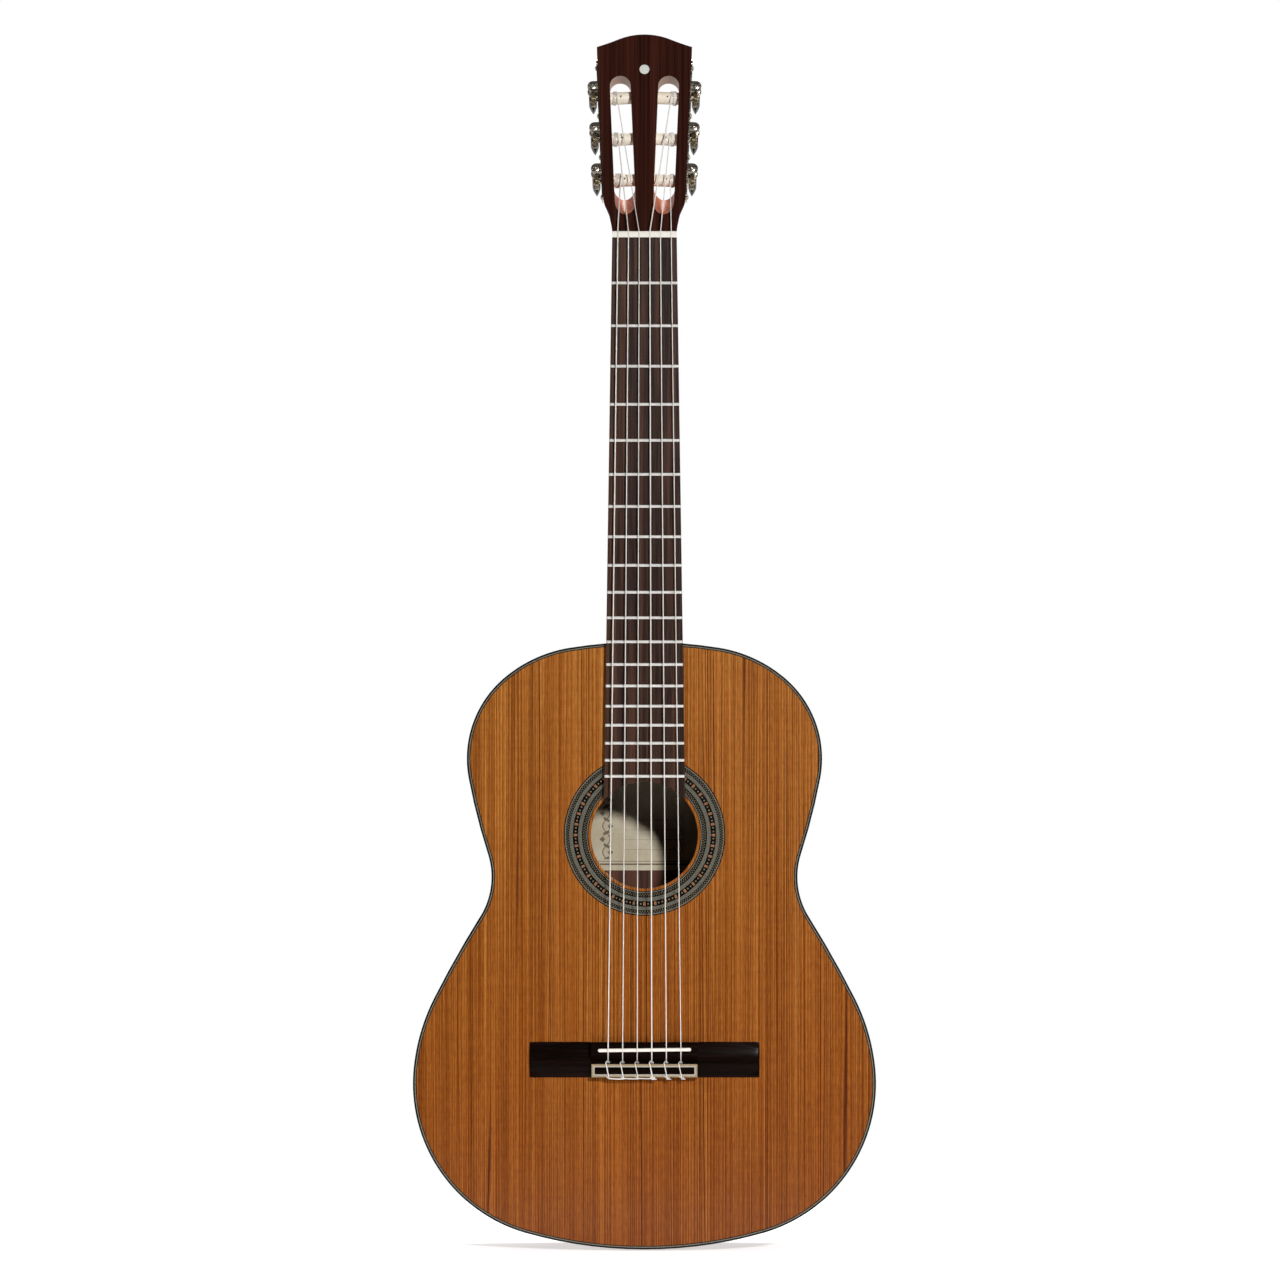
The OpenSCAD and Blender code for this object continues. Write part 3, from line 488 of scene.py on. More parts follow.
def rosewood_side():
    """Satin sides: the grain runs round the body, so the pattern is long in x and z and narrow in y."""
    s = Shade("rosewood_side", spec=0.03)
    line = s.noise((160, 2.2, 160), 4, 0.65)
    slow = s.noise((240, 11, 240), 3, 0.6)
    base = s.ramp(line, (0.33, "1e0f0a"), (0.5, "462417"), (0.68, "6c3e28"))
    tint = s.ramp(slow, (0.36, "22110c"), (0.5, "4a281a"), (0.64, "683a26"))
    return s.finish(s.mix(0.5, base, tint), line, (0.55, 0.68), 0.015)


def rosewood_back():
    """The two halves mirror each other, so the pattern follows the distance from the middle joint."""
    s = Shade("rosewood_back", spec=0.25, coat=0.25, coat_rough=0.12)
    out = abs(s.x)
    bent = out + s.noise((90, 90, 240)) * 22.0
    line = s.noise(s.vector(bent / 2.0, 0.0, s.z / 300.0), 4, 0.65)
    slow = s.noise(s.vector(bent / 16.0, 3.0, s.z / 420.0), 3, 0.6)
    base = s.ramp(line, (0.33, "2c1811"), (0.5, "522f21"), (0.68, "784c36"))
    tint = s.ramp(slow, (0.38, "2e1912"), (0.5, "583223"), (0.64, "744834"))
    return s.finish(s.mix(0.5, base, tint), line, (0.28, 0.4), 0.015)


def slot_wood():
    """The cut walls of the head's slots: orange where the ramps are lacquered, with painted light towards the
    crest.
    """
    s = Shade("slot_wood", spec=0.3, coat=0.2, coat_rough=0.08)
    fine = s.noise((0.8, 0.8, 40), 3, 0.6)
    ramp = s.ramp(fine, (0.34, "96421a"), (0.5, "bc5c28"), (0.68, "d4783e"))
    # Painted light: towards the crest the walls are drawn pale pinkish grey, as the white backdrop lights
    # them.
    pale = s.ramp(fine, (0.34, "9d755f"), (0.5, "b99279"), (0.68, "cdaa91"))
    return s.finish(s.mix(s.band(s.z, 52, 80), ramp, pale), fine, (0.3, 0.42))


# ---- the rosette's mosaic


def polar(s):
    """Distance from the soundhole's middle in mm, and the angle round it."""
    dz = s.z - HOLE_Z
    return s.math("SQRT", s.x * s.x + dz * dz), s.math("ARCTAN2", s.x, dz)


def fleck(s, base, amount=0.25):
    """Slight unevenness from piece to piece of the inlay."""
    spots = s.noise((0.9, 9, 0.9))
    return s.mix(amount, base, s.ramp(spots, (0.35, "968c80"), (0.65, WHITE)), "MULTIPLY")


def mosaic_checker(name, middle, count):
    """Two rows of small pale squares, staggered."""
    s = Shade(name, rough=0.24, spec=0.15)
    r, angle = polar(s)
    row = s.math("SIGN", r - middle)
    wave = (angle * float(count)).sine() * row
    near = s.band(abs(abs(r - middle) - 0.62), 0.55, 0.4)
    dot = s.band(wave, 0.0, 0.35) * near
    return s.finish(fleck(s, s.mix(dot, "0a0807", "686150")))


def mosaic_hatch():
    """Silver-grey herringbone of slanted slips."""
    s = Shade("mosaic_hatch", rough=0.24, spec=0.15)
    r, angle = polar(s)
    slip = s.band((angle * 260.0 + r * 4.0).sine(), -0.2, 0.5)
    return s.finish(fleck(s, s.mix(slip, "545249", "7a786d"), 0.5))


def mosaic_centre(middle, count=40):
    """Black band with short orange bars edged in cream, and two cream dots between each pair."""
    s = Shade("mosaic_centre", rough=0.24, spec=0.15)
    r, angle = polar(s)
    pitch = 2 * pi * middle / count
    share = s.math("FRACT", angle * (count / 2 / pi) + 0.5) - 0.5
    along = abs(share * pitch)
    off = abs(r - middle)
    short = s.band(off, 1.5, 1.35)
    cream = s.band(along, 0.95, 0.8) * short
    core = s.band(along, 0.5, 0.35) * short
    far = along - 2.9
    dots = s.band(s.math("SQRT", far * far + off * off), 0.72, 0.56)
    base = s.mix(cream, "0c0908", "967c5c")
    base = s.mix(core, base, "964c28")
    return s.finish(fleck(s, s.mix(dots, base, "847054")))


# ---- other materials


def plain(name, colour, other, size, rough, spec=0.5, coat=0.0):
    """A material with a slight mottle between two near colours."""
    s = Shade(name, spec=spec, coat=coat)
    spots = s.noise((size, size, size), 3, 0.6)
    return s.finish(s.mix(s.band(spots, 0.2, 0.8), colour, other), spots, rough)


def brushed(name, colour, other, along, metal=1.0):
    """Metal with fine brush marks, longest in the direction of the largest number."""
    s = Shade(name, metal=metal)
    lines = s.noise(tuple(0.12 * a for a in along), 2, 0.6)
    spots = s.noise((3, 3, 3), 3)
    return s.finish(s.mix(s.band(spots, 0.3, 0.7), colour, other), lines, (0.22, 0.36), 0.004, 0.4)


def engraved_plate():
    """Nickel plate with shallow engraved waves along it."""
    s = Shade("tuner_plate", metal=1.0)
    spots = s.noise((4, 4, 4), 3)
    base = s.mix(s.band(spots, 0.3, 0.7), "beb4a0", "d6cebe")
    wave = (s.z * 0.9).sine()
    line = ((s.y + wave * 0.8) * 4.0).sine()
    return s.finish(base, line, (0.2, 0.32), 0.05, 0.35)


def wound_wire(radius):
    """Silver-plated wire wound closely round the core: fine ridges along the string, with painted shade in
    their grooves.
    """
    s = Shade(f"wound_string_{radius}", rough=0.34, spec=0.4, metal=0.2)
    ridge_and_painted_shade = (s.z * (2 * pi / (radius * 0.6))).sine()
    # Painted shade and highlight: darker in the grooves between the windings, lighter on their crests.
    base = s.mix(s.band(ridge_and_painted_shade, -1, 1), "c4bfb6", "f4f1ea")
    return s.finish(base, ridge_and_painted_shade, bump=0.02)


def paper():
    """Aged paper with ruled borders, a leafy scroll at the left and a few faint writing lines."""
    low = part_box("label")[0]
    vine_x, bottom = low[0] / MM + 27, low[2] / MM
    s = Shade("paper_label", rough=0.7, spec=0.25)
    fibre = s.noise((1.2, 9, 1.2), 4, 0.7)
    stain = s.noise((30, 9, 30), 3)
    base = s.mix(s.band(fibre, 0.3, 0.7), "c4b8a0", "d4cbb4")
    base = s.mix(0.6, base, s.ramp(stain, (0.35, "ded2bc"), (0.65, WHITE)), "MULTIPLY")
    ink = 0.0
    for height, half in ((bottom + 5, 0.7), (bottom + 7.4, 0.25)):
        ink = s.math("MAXIMUM", ink, s.band(abs(s.z - height), half, half * 0.7))
    for row in range(4):
        rule = s.band(abs(s.z - (bottom + 17 + 8 * row)), 0.22, 0.15)
        inside = s.band(abs(s.x - 8.0), 24, 23.6)
        ink = s.math("MAXIMUM", ink, rule * inside * 0.5)
    stem = s.band(abs(s.x - (vine_x + (s.z / VINE_BEND).sine() * 3.0)), 0.6, 0.35)
    leaf_dx = abs(s.x - (vine_x - (s.z / VINE_BEND).sine() * 3.4))
    leaf_dz = abs(s.math("PINGPONG", s.z + 900.0, LEAF_PITCH) - LEAF_PITCH / 2)
    leaf = s.band(leaf_dx + leaf_dz, 2.6, 2.2)
    above = s.band(s.z, bottom + 9, bottom + 9.4)
    vine = s.math("MAXIMUM", stem, leaf) * above
    ink = s.math("MAXIMUM", ink, vine * 0.9) * 0.85
    return s.finish(s.mix(ink, base, "463628"), fibre, bump=0.02, strength=0.4)


def edging():
    """The tie block's border: slanted pale slips, with a silver-grey line along its inner edge."""
    s = Shade("edging", rough=0.36, spec=0.4, coat=0.2)
    low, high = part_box("tie_block_edging")
    inwards = []
    for axis, at in ((0, s.x), (2, s.z)):
        middle, half = (low[axis] + high[axis]) / 2 / MM, (high[axis] - low[axis]) / 2 / MM
        inwards.append(half - abs(at - middle))
    depth = s.math("MINIMUM", *inwards)
    slant = ((s.x + s.z) * (2 * pi / 1.5)).sine()
    base = s.mix(s.band(slant, -0.3, 0.5), "705438", "c4ae8a")
    base = s.mix(s.band(depth, 0.55, 0.45), base, "18120f")
    base = s.mix(s.band(depth, 1.9, 2.0), base, "b0aca2")
    return s.finish(fleck(s, base, 0.3))


def pearl():
    s = Shade("pearl", rough=0.16, spec=0.6, coat=0.6, coat_rough=0.05)
    film = s.noise((1.6, 1.6, 2.4), 4, 0.6)
    base = s.ramp(film, (0.32, "b0bec0"), (0.45, "e2ded4"), (0.55, "c8d4c8"),
                  (0.68, "deced6"))
    return s.finish(base, film, bump=0.01, strength=0.4)


for make in (cedar, rosewood_side, rosewood_back, slot_wood, engraved_plate, paper, edging, pearl):
    make()
for radius in STRING_R[3:]:
    wound_wire(radius)
wood("black_wood", "060504", "0b0907", "14100d", (0.7, 0.7, 60), rough=(0.42, 0.5), spec=0.06,
     bump=0.0)
wood("head_face", "190805", "2e130d", "482318", (0.6, 200, 220), (5, 200, 420),
     (0.16, 0.24), contrast=0.4, spec=0.2)
wood("mahogany", "703c22", "8e5230", "a66842", (0.8, 0.8, 60), (7, 7, 300), coat=0.3)
wood("spruce", "aa8458", "c8a474", "daba8c", (0.8, 0.8, 200), (6, 6, 300),
     (0.5, 0.6))
wood("fingerboard", "160c08", "291913", "523426", (0.6, 0.6, 34), (3.4, 3.4, 240),
     (0.26, 0.36), contrast=0.6, spec=0.16)
wood("bridge_rosewood", "060302", "0c0604", "1b0e0a", (60, 0.8, 0.6), (120, 4, 3),
     (0.2, 0.28), spec=0.03)
plain("grey_wood", "5c5950", "7c796e", 1.5, (0.24, 0.32), spec=0.15)
plain("bone", "e6e0d5", "f2ede3", 3, (0.3, 0.4), coat=0.2)
plain("roller_plastic", "ece2ce", "f4ecdc", 6, (0.3, 0.4), coat=0.3)
plain("button_plastic", "090807", "100e0c", 4, (0.26, 0.36), spec=0.14)
plain("nylon", "e0dbd2", "f0ece6", 5, (0.16, 0.26), coat=0.3)
brushed("fret_metal", "dedad6", "eeebe7", (40, 1, 1), metal=0.35)
brushed("nickel", "c4bcac", "ded8cc", (1, 40, 1))
brushed("brass", "968468", "c4b8a0", (1, 1, 1))


# ---- the body's outline

ROOT = "guitar"


def half_arcs():
    """Centre, radius and both headings of each arc of the half outline."""
    arcs, p, heading = [], Vector((0, 0)), 0.0
    for r, swept in BOUT_ARCS + [(None, None)]:
        if r is None:
            r, end = -p.x / sin(heading), -pi
        else:
            end = heading - copysign(radians(swept), r)
        c = p + r * Vector((sin(heading), -cos(heading)))
        arcs.append((c, r, heading, end))
        p, heading = c - r * Vector((sin(end), -cos(end))), end
    return arcs


ARCS = half_arcs()


def outline(inset=0.0, step=2.5):
    """The body's closed outline, moved inwards by inset, as (x, z)."""
    half = []
    for c, r, a, b in ARCS:
        n = ceil(degrees(abs(b - a)) / step - 1e-6)
        for k in range(n):
            h = a + (b - a) * k / n
            half.append(c - (r - inset) * Vector((sin(h), -cos(h))))
    c, r, a, b = ARCS[-1]
    half.append(c - (r - inset) * Vector((0, 1)))
    half = [(p.x, p.y + BODY_Z) for p in half]
    return half + [(-x, z) for x, z in half[-2:0:-1]]


def back_y(x, z):
    """The arched back's outer surface."""
    tilt = atan((DEPTH_TAIL - DEPTH_HEEL) / BODY_L)
    drop = BACK_ARCH - sqrt(BACK_ARCH ** 2 - x * x)
    return DEPTH_HEEL + (BODY_Z - z) * tan(tilt) - drop / cos(tilt)


def level(y):
    return lambda x, z: y


def from_back(d):
    return lambda x, z: back_y(x, z) - d


def body_ring(name, profile, mats, kinds=None):
    """A ring round the body: profile holds (inset, depth) with depth a function of the place."""
    loops = [outline(d) for d, _ in profile]
    rings = []
    for k in range(len(loops[0])):
        rings.append([(loop[k][0], depth(*loop[k]), loop[k][1]) for loop, (_, depth) in zip(loops, profile)])
    return solid(name, rings, mats, loop=True, index=kinds * len(rings) if kinds else None)


# ---- body


def ray_length(loop, angle, centre_z):
    """How far from (0, centre_z) the loop is, in the direction whose angle from +z is given."""
    d = Vector((sin(angle), cos(angle)))
    best = 0.0
    for (ax, az), (bx, bz) in zip(loop, loop[1:] + loop[:1]):
        a, b = Vector((ax, az - centre_z)), Vector((bx, bz - centre_z))
        e = b - a
        cross = d.x * e.y - d.y * e.x
        if abs(cross) < 1e-9:
            continue
        t = (a.x * e.y - a.y * e.x) / cross
        u = (a.x * d.y - a.y * d.x) / cross
        if t > 0 and -1e-9 <= u <= 1 + 1e-9:
            best = max(best, t)
    return best


def round_hole(profile, t):
    """A profile of (radius, y), turned by t round the soundhole."""
    return [(r * sin(t), y, HOLE_Z + r * cos(t)) for r, y in profile]


def make_soundboard():
    edge = outline(BIND_W + PURF_LINE, 1.5)
    rings = []
    for t in turn(360):
        far = ray_length(edge, t, HOLE_Z)
        rings.append(round_hole([
            (HOLE_R + 0.35, 0), (ROSETTE_IN, 0), (ROSETTE_IN, ROSETTE_T), (ROSETTE_OUT, ROSETTE_T),
            (ROSETTE_OUT, 0), (far, 0), (far, TOP_T), (HOLE_R, TOP_T), (HOLE_R, 0.5),
            (HOLE_R + 0.1, 0.15)], t))
    hand_over(solid("soundboard_cedar", rings, "cedar", loop=True), ROOT, "cedar", "soundboard")


def make_rosette():
    """Concentric rings of wood, lines and mosaic let into the top round the soundhole."""
    rows = [(ROSETTE_IN, "black"), (46.0, "line"), (46.6, "dots_in"), (50.0, "black"), (50.3, "hatch"),
            (53.3, "black"), (53.6, "centre"), (57.4, "black"), (57.7, "hatch"), (60.5, "black"),
            (60.8, "dots_out"), (63.4, "line"), (64.1, "black")]
    mats = {"black": MAT["black_wood"], "line": MAT["grey_wood"],
            "dots_in": mosaic_checker("mosaic_dots_in", 48.3, 150), "hatch": mosaic_hatch(),
            "centre": mosaic_centre(55.5), "dots_out": mosaic_checker("mosaic_dots_out", 62.1, 190)}
    names = list(mats)
    profile = [(r, -PROUD) for r, _ in rows] + [(ROSETTE_OUT, -PROUD)]
    profile += [(ROSETTE_OUT, ROSETTE_T - PROUD), (ROSETTE_IN, ROSETTE_T - PROUD)]
    rings = [round_hole(profile, t) for t in turn(240)]
    kinds = [names.index(k) for _, k in rows] + [names.index("black")] * 3
    obj = solid("rosette_mosaic", rings, list(mats.values()), loop=True, index=kinds * len(rings))
    hand_over(obj, ROOT, "rosette_inlay", "rosette")


def make_edges():
    """Bindings with rounded corners, and the purfling lines inside the top one."""
    for node, depth in (("top_binding", level), ("back_binding", from_back)):
        profile = [(BIND_W, depth(0.0))] + [(a, depth(b)) for a, b in corner(0.9)]
        profile += [(0, depth(BIND_H)), (BIND_W, depth(BIND_H))]
        hand_over(body_ring(f"{node}_black", profile, "black_wood"), ROOT, "black_wood", node)
    far = BIND_W + PURF_W
    lines = [(BIND_W, level(-PROUD)), (BIND_W + PURF_LINE, level(-PROUD)), (far, level(-PROUD)),
             (far, level(PURF_T)), (BIND_W, level(PURF_T))]
    obj = body_ring("top_purfling_lines", lines, [MAT["grey_wood"], MAT["black_wood"]], [0, 1, 1, 1, 0])
    hand_over(obj, ROOT, "white_wood", "top_purfling")


def make_ribs():
    """Rebated at both edges for the bindings."""
    profile = [(0, level(BIND_H)), (0, from_back(BIND_H)), (BIND_W, from_back(BIND_H)),
               (BIND_W, from_back(BACK_T)), (RIB_T, from_back(BACK_T)), (RIB_T, level(TOP_T)),
               (BIND_W, level(TOP_T)), (BIND_W, level(BIND_H))]
    hand_over(body_ring("ribs_rosewood", profile, "rosewood_side"), ROOT, "rosewood", "ribs")


def make_back():
    """Two bookmatched halves and a narrow centre strip, arched from side to side."""
    half = outline(BIND_W - PROUD)
    outer, inner = [], []
    for x, z in half[1:len(half) // 2]:
        s = min(STRIP_HALF, x * 0.5)
        cuts = [c * (x - s) for c in (-1 + k / BACK_STEPS for k in range(BACK_STEPS + 1))]
        xs = [c - s for c in cuts] + [c + x for c in cuts]
        outer.append([(a, back_y(a, z), z) for a in xs])
        inner.append([(a, back_y(a, z) - BACK_T, z) for a in xs])
    n, rows = len(outer[0]), len(outer)
    verts = [p for row in outer + inner for p in row]
    faces, kinds = [], []
    for a in range(rows - 1):
        for k in range(n - 1):
            q = (a * n + k, a * n + k + 1, (a + 1) * n + k + 1, (a + 1) * n + k)
            faces += [q, tuple(v + n * rows for v in q)]
            kinds += [1 if k == n // 2 - 1 else 0, 0]
    edge = list(range(n)) + [a * n + n - 1 for a in range(1, rows)]
    edge += [(rows - 1) * n + k for k in range(n - 2, -1, -1)] + [a * n for a in range(rows - 2, 0, -1)]
    for a, b in zip(edge, edge[1:] + edge[:1]):
        faces.append((a, b, b + n * rows, a + n * rows))
        kinds.append(0)
    obj = piece("back_rosewood", verts, faces, [MAT["rosewood_back"], MAT["black_wood"]], index=kinds)
    hand_over(obj, ROOT, "rosewood", "back_plate")


# ---- bridge

BRIDGE_L, TIE_W, TIE_L, TIE_Y = 28.5, 86.0, 11.5, -9.0
BRIDGE_TOP = SADDLE_Z + 6
TIE_Z = BRIDGE_TOP - BRIDGE_L
TIE_HOLE_Y, TIE_HOLE_R = -4.8, 0.9
WING_T, WING_EDGE, WING_ARCH, WING_FALL, WING_STEPS = 3.8, 0.8, 34.0, 680.0, 24
WING_STATIONS = [(0, 0), (8, 0), (16, 0), (24, 0), (32, 0), (40, 0), (45, 0), (48, 0.02), (49.1, 0.18),
                 (49.5, 0.6)]
SADDLE_L, SADDLE_T, SADDLE_SLANT = 75.0, 2.8, radians(0.6)


def string_x(i, spread):
    return spread * (2.5 - i) / 5


def make_bridge():
    middle = [(0, BRIDGE_TOP), (-6.5, BRIDGE_TOP), (TIE_Y, BRIDGE_TOP - 2.5), (TIE_Y, SADDLE_Z - 3.5),
              (-6.2, SADDLE_Z - 6.5), (-3.2, TIE_Z + TIE_L), (TIE_Y, TIE_Z + TIE_L), (TIE_Y, TIE_Z),
              (0, TIE_Z)]
    block = bar("bridge_block", TIE_W / 2, middle, 0.35, "bridge_rosewood")
    cutters = []
    for i in range(6):
        x = string_x(i, SADDLE_SPREAD)
        rings = [[(x + TIE_HOLE_R * cos(t), TIE_HOLE_Y + TIE_HOLE_R * sin(t), z) for t in turn(16)]
                 for z in (TIE_Z - 2, TIE_Z + TIE_L + 2)]
        cutters.append(solid("cutter", rings, []))
    carve(block, cutters)
    hand_over(block, ROOT, "bridge_rosewood", "bridge")
    for name, side in (("bridge_wing_treble", 1), ("bridge_wing_bass", -1)):
        obj = solid(name, [wing_section(side, *station) for station in WING_STATIONS], "bridge_rosewood")
        hand_over(obj, ROOT, "bridge_rosewood")


def wing_section(side, along, pull):
    """A wing's section: domed, thinner towards its end, and drawn in by pull where the end is rounded."""
    x, middle, half = side * (TIE_W / 2 + along), TIE_Z + BRIDGE_L / 2, BRIDGE_L / 2 - pull
    row = [(x, 0, middle - half)]
    for j in range(WING_STEPS + 1):
        dz = half * (2 * j / WING_STEPS - 1)
        dome = WING_T - (WING_ARCH - sqrt(WING_ARCH ** 2 - dz * dz))
        dome -= WING_FALL - sqrt(WING_FALL ** 2 - along * along)
        thick = max(WING_EDGE, dome) - pull - (0.25 if j in (0, WING_STEPS) else 0)
        row.append((x, -thick, middle + dz))
    return row + [(x, 0, middle + half)]


def make_tie_border():
    """The inlaid frame round the top of the tie block."""
    wide, proud, inset = 2.6, 0.06, 0.3
    x, low, high = TIE_W / 2 - inset, TIE_Z + inset, TIE_Z + TIE_L - inset
    profile = [(0, TIE_Y + 1), (0, TIE_Y), (proud, TIE_Y - proud), (wide - proud, TIE_Y - proud),
               (wide, TIE_Y), (wide, TIE_Y + 1)]
    loop = [(-x, low), (x, low), (x, high), (-x, high)]
    rings = [[(x, y, z) for x, z in inset_loop(loop, d)] for d, y in profile]
    hand_over(solid("tie_block_border", rings, "edging", loop=True), ROOT, "edging", "tie_block_edging")


def make_saddle():
    half, r = SADDLE_L / 2 - SADDLE_T / 2, SADDLE_T / 2
    loop = [(e * (half + r * sin(t)), e * r * cos(t)) for e in (1, -1) for t in sweep(0, pi, 8)]
    s, c = sin(SADDLE_SLANT), cos(SADDLE_SLANT)
    loop = [(x * c - z * s, SADDLE_Z + z * c + x * s) for x, z in loop]
    profile = [(0.95, SADDLE_TOP), (0.6, SADDLE_TOP + 0.08), (0.25, SADDLE_TOP + 0.3), (0, SADDLE_TOP + 0.8),
               (0, -4)]
    hand_over(plate("saddle_bone", loop, profile, "bone"), ROOT, "bone", "saddle")


# ---- neck and fingerboard

HEEL_START = BODY_Z + 44
NECK_T, NECK_T_HEEL = 16.0, 18.0
HEEL_CAP_L, HEEL_CAP_T, HEEL_STEPS = 13.0, 2.5, 26


def neck_w(z):
    return NUT_W + (HEEL_W - NUT_W) * z / BODY_Z


def fret_z(n):
    return -SCALE_LENGTH * (1 - 2 ** (-n / 12))


def neck_section(z, steps=40):
    """The neck's section, with the heel's waisted shape below the last free frets."""
    share = max(0.0, min(1.0, (HEEL_START - z) / (HEEL_START - BODY_Z)))
    depth = NECK_T + (NECK_T_HEEL - NECK_T) * z / HEEL_START
    if z < HEEL_START:
        u = min(1.0, (HEEL_START - z) / (HEEL_START - BODY_Z - HEEL_CAP_L))
        depth = NECK_T_HEEL + (DEPTH_HEEL - HEEL_CAP_T - NECK_T_HEEL) * (1 - sqrt(max(0.0, 1 - u * u)))
    row = []
    for k in range(steps + 1):
        f = pi * k / steps
        y = depth * max(0.0, sin(f)) ** 0.8
        pinch = 1 - share * (1 - (0.40 + 0.60 * exp(-y / 20)))
        x = copysign(neck_w(z) / 2 * abs(cos(f)) ** (0.86 - 0.5 * share), cos(f)) * pinch
        row.append((x, y, z))
    return row


def make_neck():
    start = [head_point((x, y * HEAD_T / NECK_T, 0)) for x, y, _ in neck_section(0)]
    drop = HEEL_START - BODY_Z - HEEL_CAP_L
    heights = [-2, -8, -20, -50, -90, -130, -170, -210, -245, -265, -276, HEEL_START]
    heights += [HEEL_START - drop * sin(pi / 2 * k / HEEL_STEPS) for k in range(1, HEEL_STEPS + 1)]
    heights += [BODY_Z + 8, BODY_Z + 4, BODY_Z, BODY_Z - 1.6]
    obj = solid("neck_and_heel", [start] + [neck_section(z) for z in heights], "mahogany")
    hand_over(obj, ROOT, "mahogany", "neck", "heel")


def make_fingerboard():
    """Its end follows the soundhole, from where the straight sides meet the hole's edge."""
    end = HOLE_Z + HOLE_R / 2
    w = neck_w(end) / 2
    reach = asin(w / HOLE_R)
    loop = [(-NUT_W / 2, 0), (NUT_W / 2, 0)]
    loop += [(HOLE_R * sin(t), HOLE_Z + HOLE_R * cos(t)) for t in sweep(reach, -reach, 24)]
    obj = plate("fingerboard_wood", loop, rim_profile(-BOARD_T, -0.01, 0.45), "fingerboard")
    hand_over(obj, ROOT, "ebony", "fingerboard")


def make_frets():
    """Crowned bars. Each step of an end's bevel is how far in it is, and its share of the height."""
    verts, faces = [], []
    reach = asin(FRET_W / 2 / FRET_ROUND)
    bevel = [(0.0, 0.2), (0.25, 0.6), (0.6, 0.9), (1.1, 1.0)]
    for n in range(1, FRETS + 1):
        z, half = fret_z(n), neck_w(fret_z(n)) / 2
        rings = []
        for end, (inwards, share) in [(-1, step) for step in bevel] + [(1, step) for step in bevel[::-1]]:
            x = end * (half - 0.05 - inwards)
            row = []
            for k in range(9):
                t = reach * (2 * k / 8 - 1)
                rise = (FRET_CROWN - FRET_ROUND * (1 - cos(t))) * share
                row.append((x, -BOARD_T - rise, z + FRET_ROUND * sin(t) * (0.7 + 0.3 * share)))
            rings.append(row + [(x, -BOARD_T + 0.4, z + e * FRET_W / 2) for e in (1, -1)])
        v, f = loft(rings)
        faces += [tuple(k + len(verts) for k in face) for face in f]
        verts += v
    hand_over(piece("frets_crowned", verts, faces, "fret_metal"), ROOT, "fret_metal", "frets")


def make_nut():
    top = -BOARD_T - NUT_H
    loop = [(0, 0), (0, NUT_L), (top + 0.9, NUT_L), (top, NUT_L - 1.4), (top, 0)]
    obj = bar("nut_bone", NUT_W / 2, loop, 0.3, "bone")
    cutters = []
    for i, r in enumerate(STRING_R):
        x, w = string_x(i, NUT_SPREAD), r + CLEAR
        slot = [(x - w, top - 2), (x + w, top - 2)]
        slot += [(x + w * cos(t), STRING_NUT_Y + w * sin(t)) for t in sweep(0, pi, 8)]
        cutters.append(solid("cutter", [[(a, b, z) for a, b in slot] for z in (-2, NUT_L + 2)], []))
    carve(obj, cutters)
    hand_over(obj, ROOT, "bone", "nut")


# ---- head


def head_outline():
    """The head's closed outline as (x, z): neck curve, straight side, hollow shoulder and crest."""
    a = asin(CREST_HALF / CREST_R)
    start = Vector((CREST_HALF, HEAD_L - CREST_R * (1 - cos(a))))
    c = start + SHOULDER_R * Vector((sin(a), cos(a)))
    corner_x = SIDE_X + (HEAD_L - SHOULDER_DROP) * tan(TAPER)
    b = asin((c.x - corner_x) / SHOULDER_R)
    low = curve_through([(x, z, 0) for x, z in NECK_CURVE], 3)[:-1]
    low = [(p.x, p.y) for p in low] + [NECK_CURVE[-1], (SIDE_X + SIDE_LOW * tan(TAPER), SIDE_LOW)]
    side = [(c.x + SHOULDER_R * cos(t), c.y + SHOULDER_R * sin(t))
            for t in [radians(270) - b + (b - a) * k / 8 for k in range(9)]]
    crest = [(CREST_R * sin(t), HEAD_L - CREST_R * (1 - cos(t)))
             for t in [a * (1 - k / 12) for k in range(1, 13)]]
    half = low + side + crest
    return half + [(-x, z) for x, z in half[-2::-1]]


def slot_cutters():
    """Cutters for both string slots and their ramps, in the head's frame."""
    out = []
    r = SLOT_W / 2
    s, c = sin(TAPER), cos(TAPER)
    lean = Vector((0, cos(RAMP_LEAN), sin(RAMP_LEAN)))
    across = Vector((0, -sin(RAMP_LEAN), cos(RAMP_LEAN)))
    base = Vector((0, -VENEER_T, RAMP_Z)) + across * r
    aside = Vector((1, 0, 0))
    for side in (1, -1):
        def place(p, side=side):
            return head_point((side * (SLOT_X + p[0] * c + p[2] * s), p[1], -p[0] * s + p[2] * c))
        ends = [(r * cos(t), SLOT_HIGH - r + r * sin(t)) for t in sweep(0, pi, 20)]
        ends += [(-r * cos(t), SLOT_LOW + r - r * sin(t)) for t in sweep(0, pi, 20)]
        rings = [[(x, y, z) for x, z in ends] for y in (-12, 30)]
        out.append(solid("cutter", rings, "slot_wood", place))
        rings = []
        for along in (-15, 35):
            m = base + lean * along
            row = [m - r * cos(t) * aside - r * sin(t) * across for t in sweep(0, pi, 28)]
            rings.append([tuple(p) for p in row + [m + across * 16 + e * r * aside for e in (1, -1)]])
        out.append(solid("cutter", rings, "slot_wood", place))
    return out


def bore_cutters():
    """Cutters for the six rollers. Strings 0 to 2 are on the treble side and 3 to 5 on the bass side."""
    r = ROLLER_R + CLEAR
    rings = [[(a, -r * cos(t), r * sin(t)) for t in turn(40)] for a in (-ROLLER_IN - 0.5, 20)]
    return [solid("cutter", rings, "slot_wood", on_roller(i)) for i in (0, 1, 2, 5, 4, 3)]


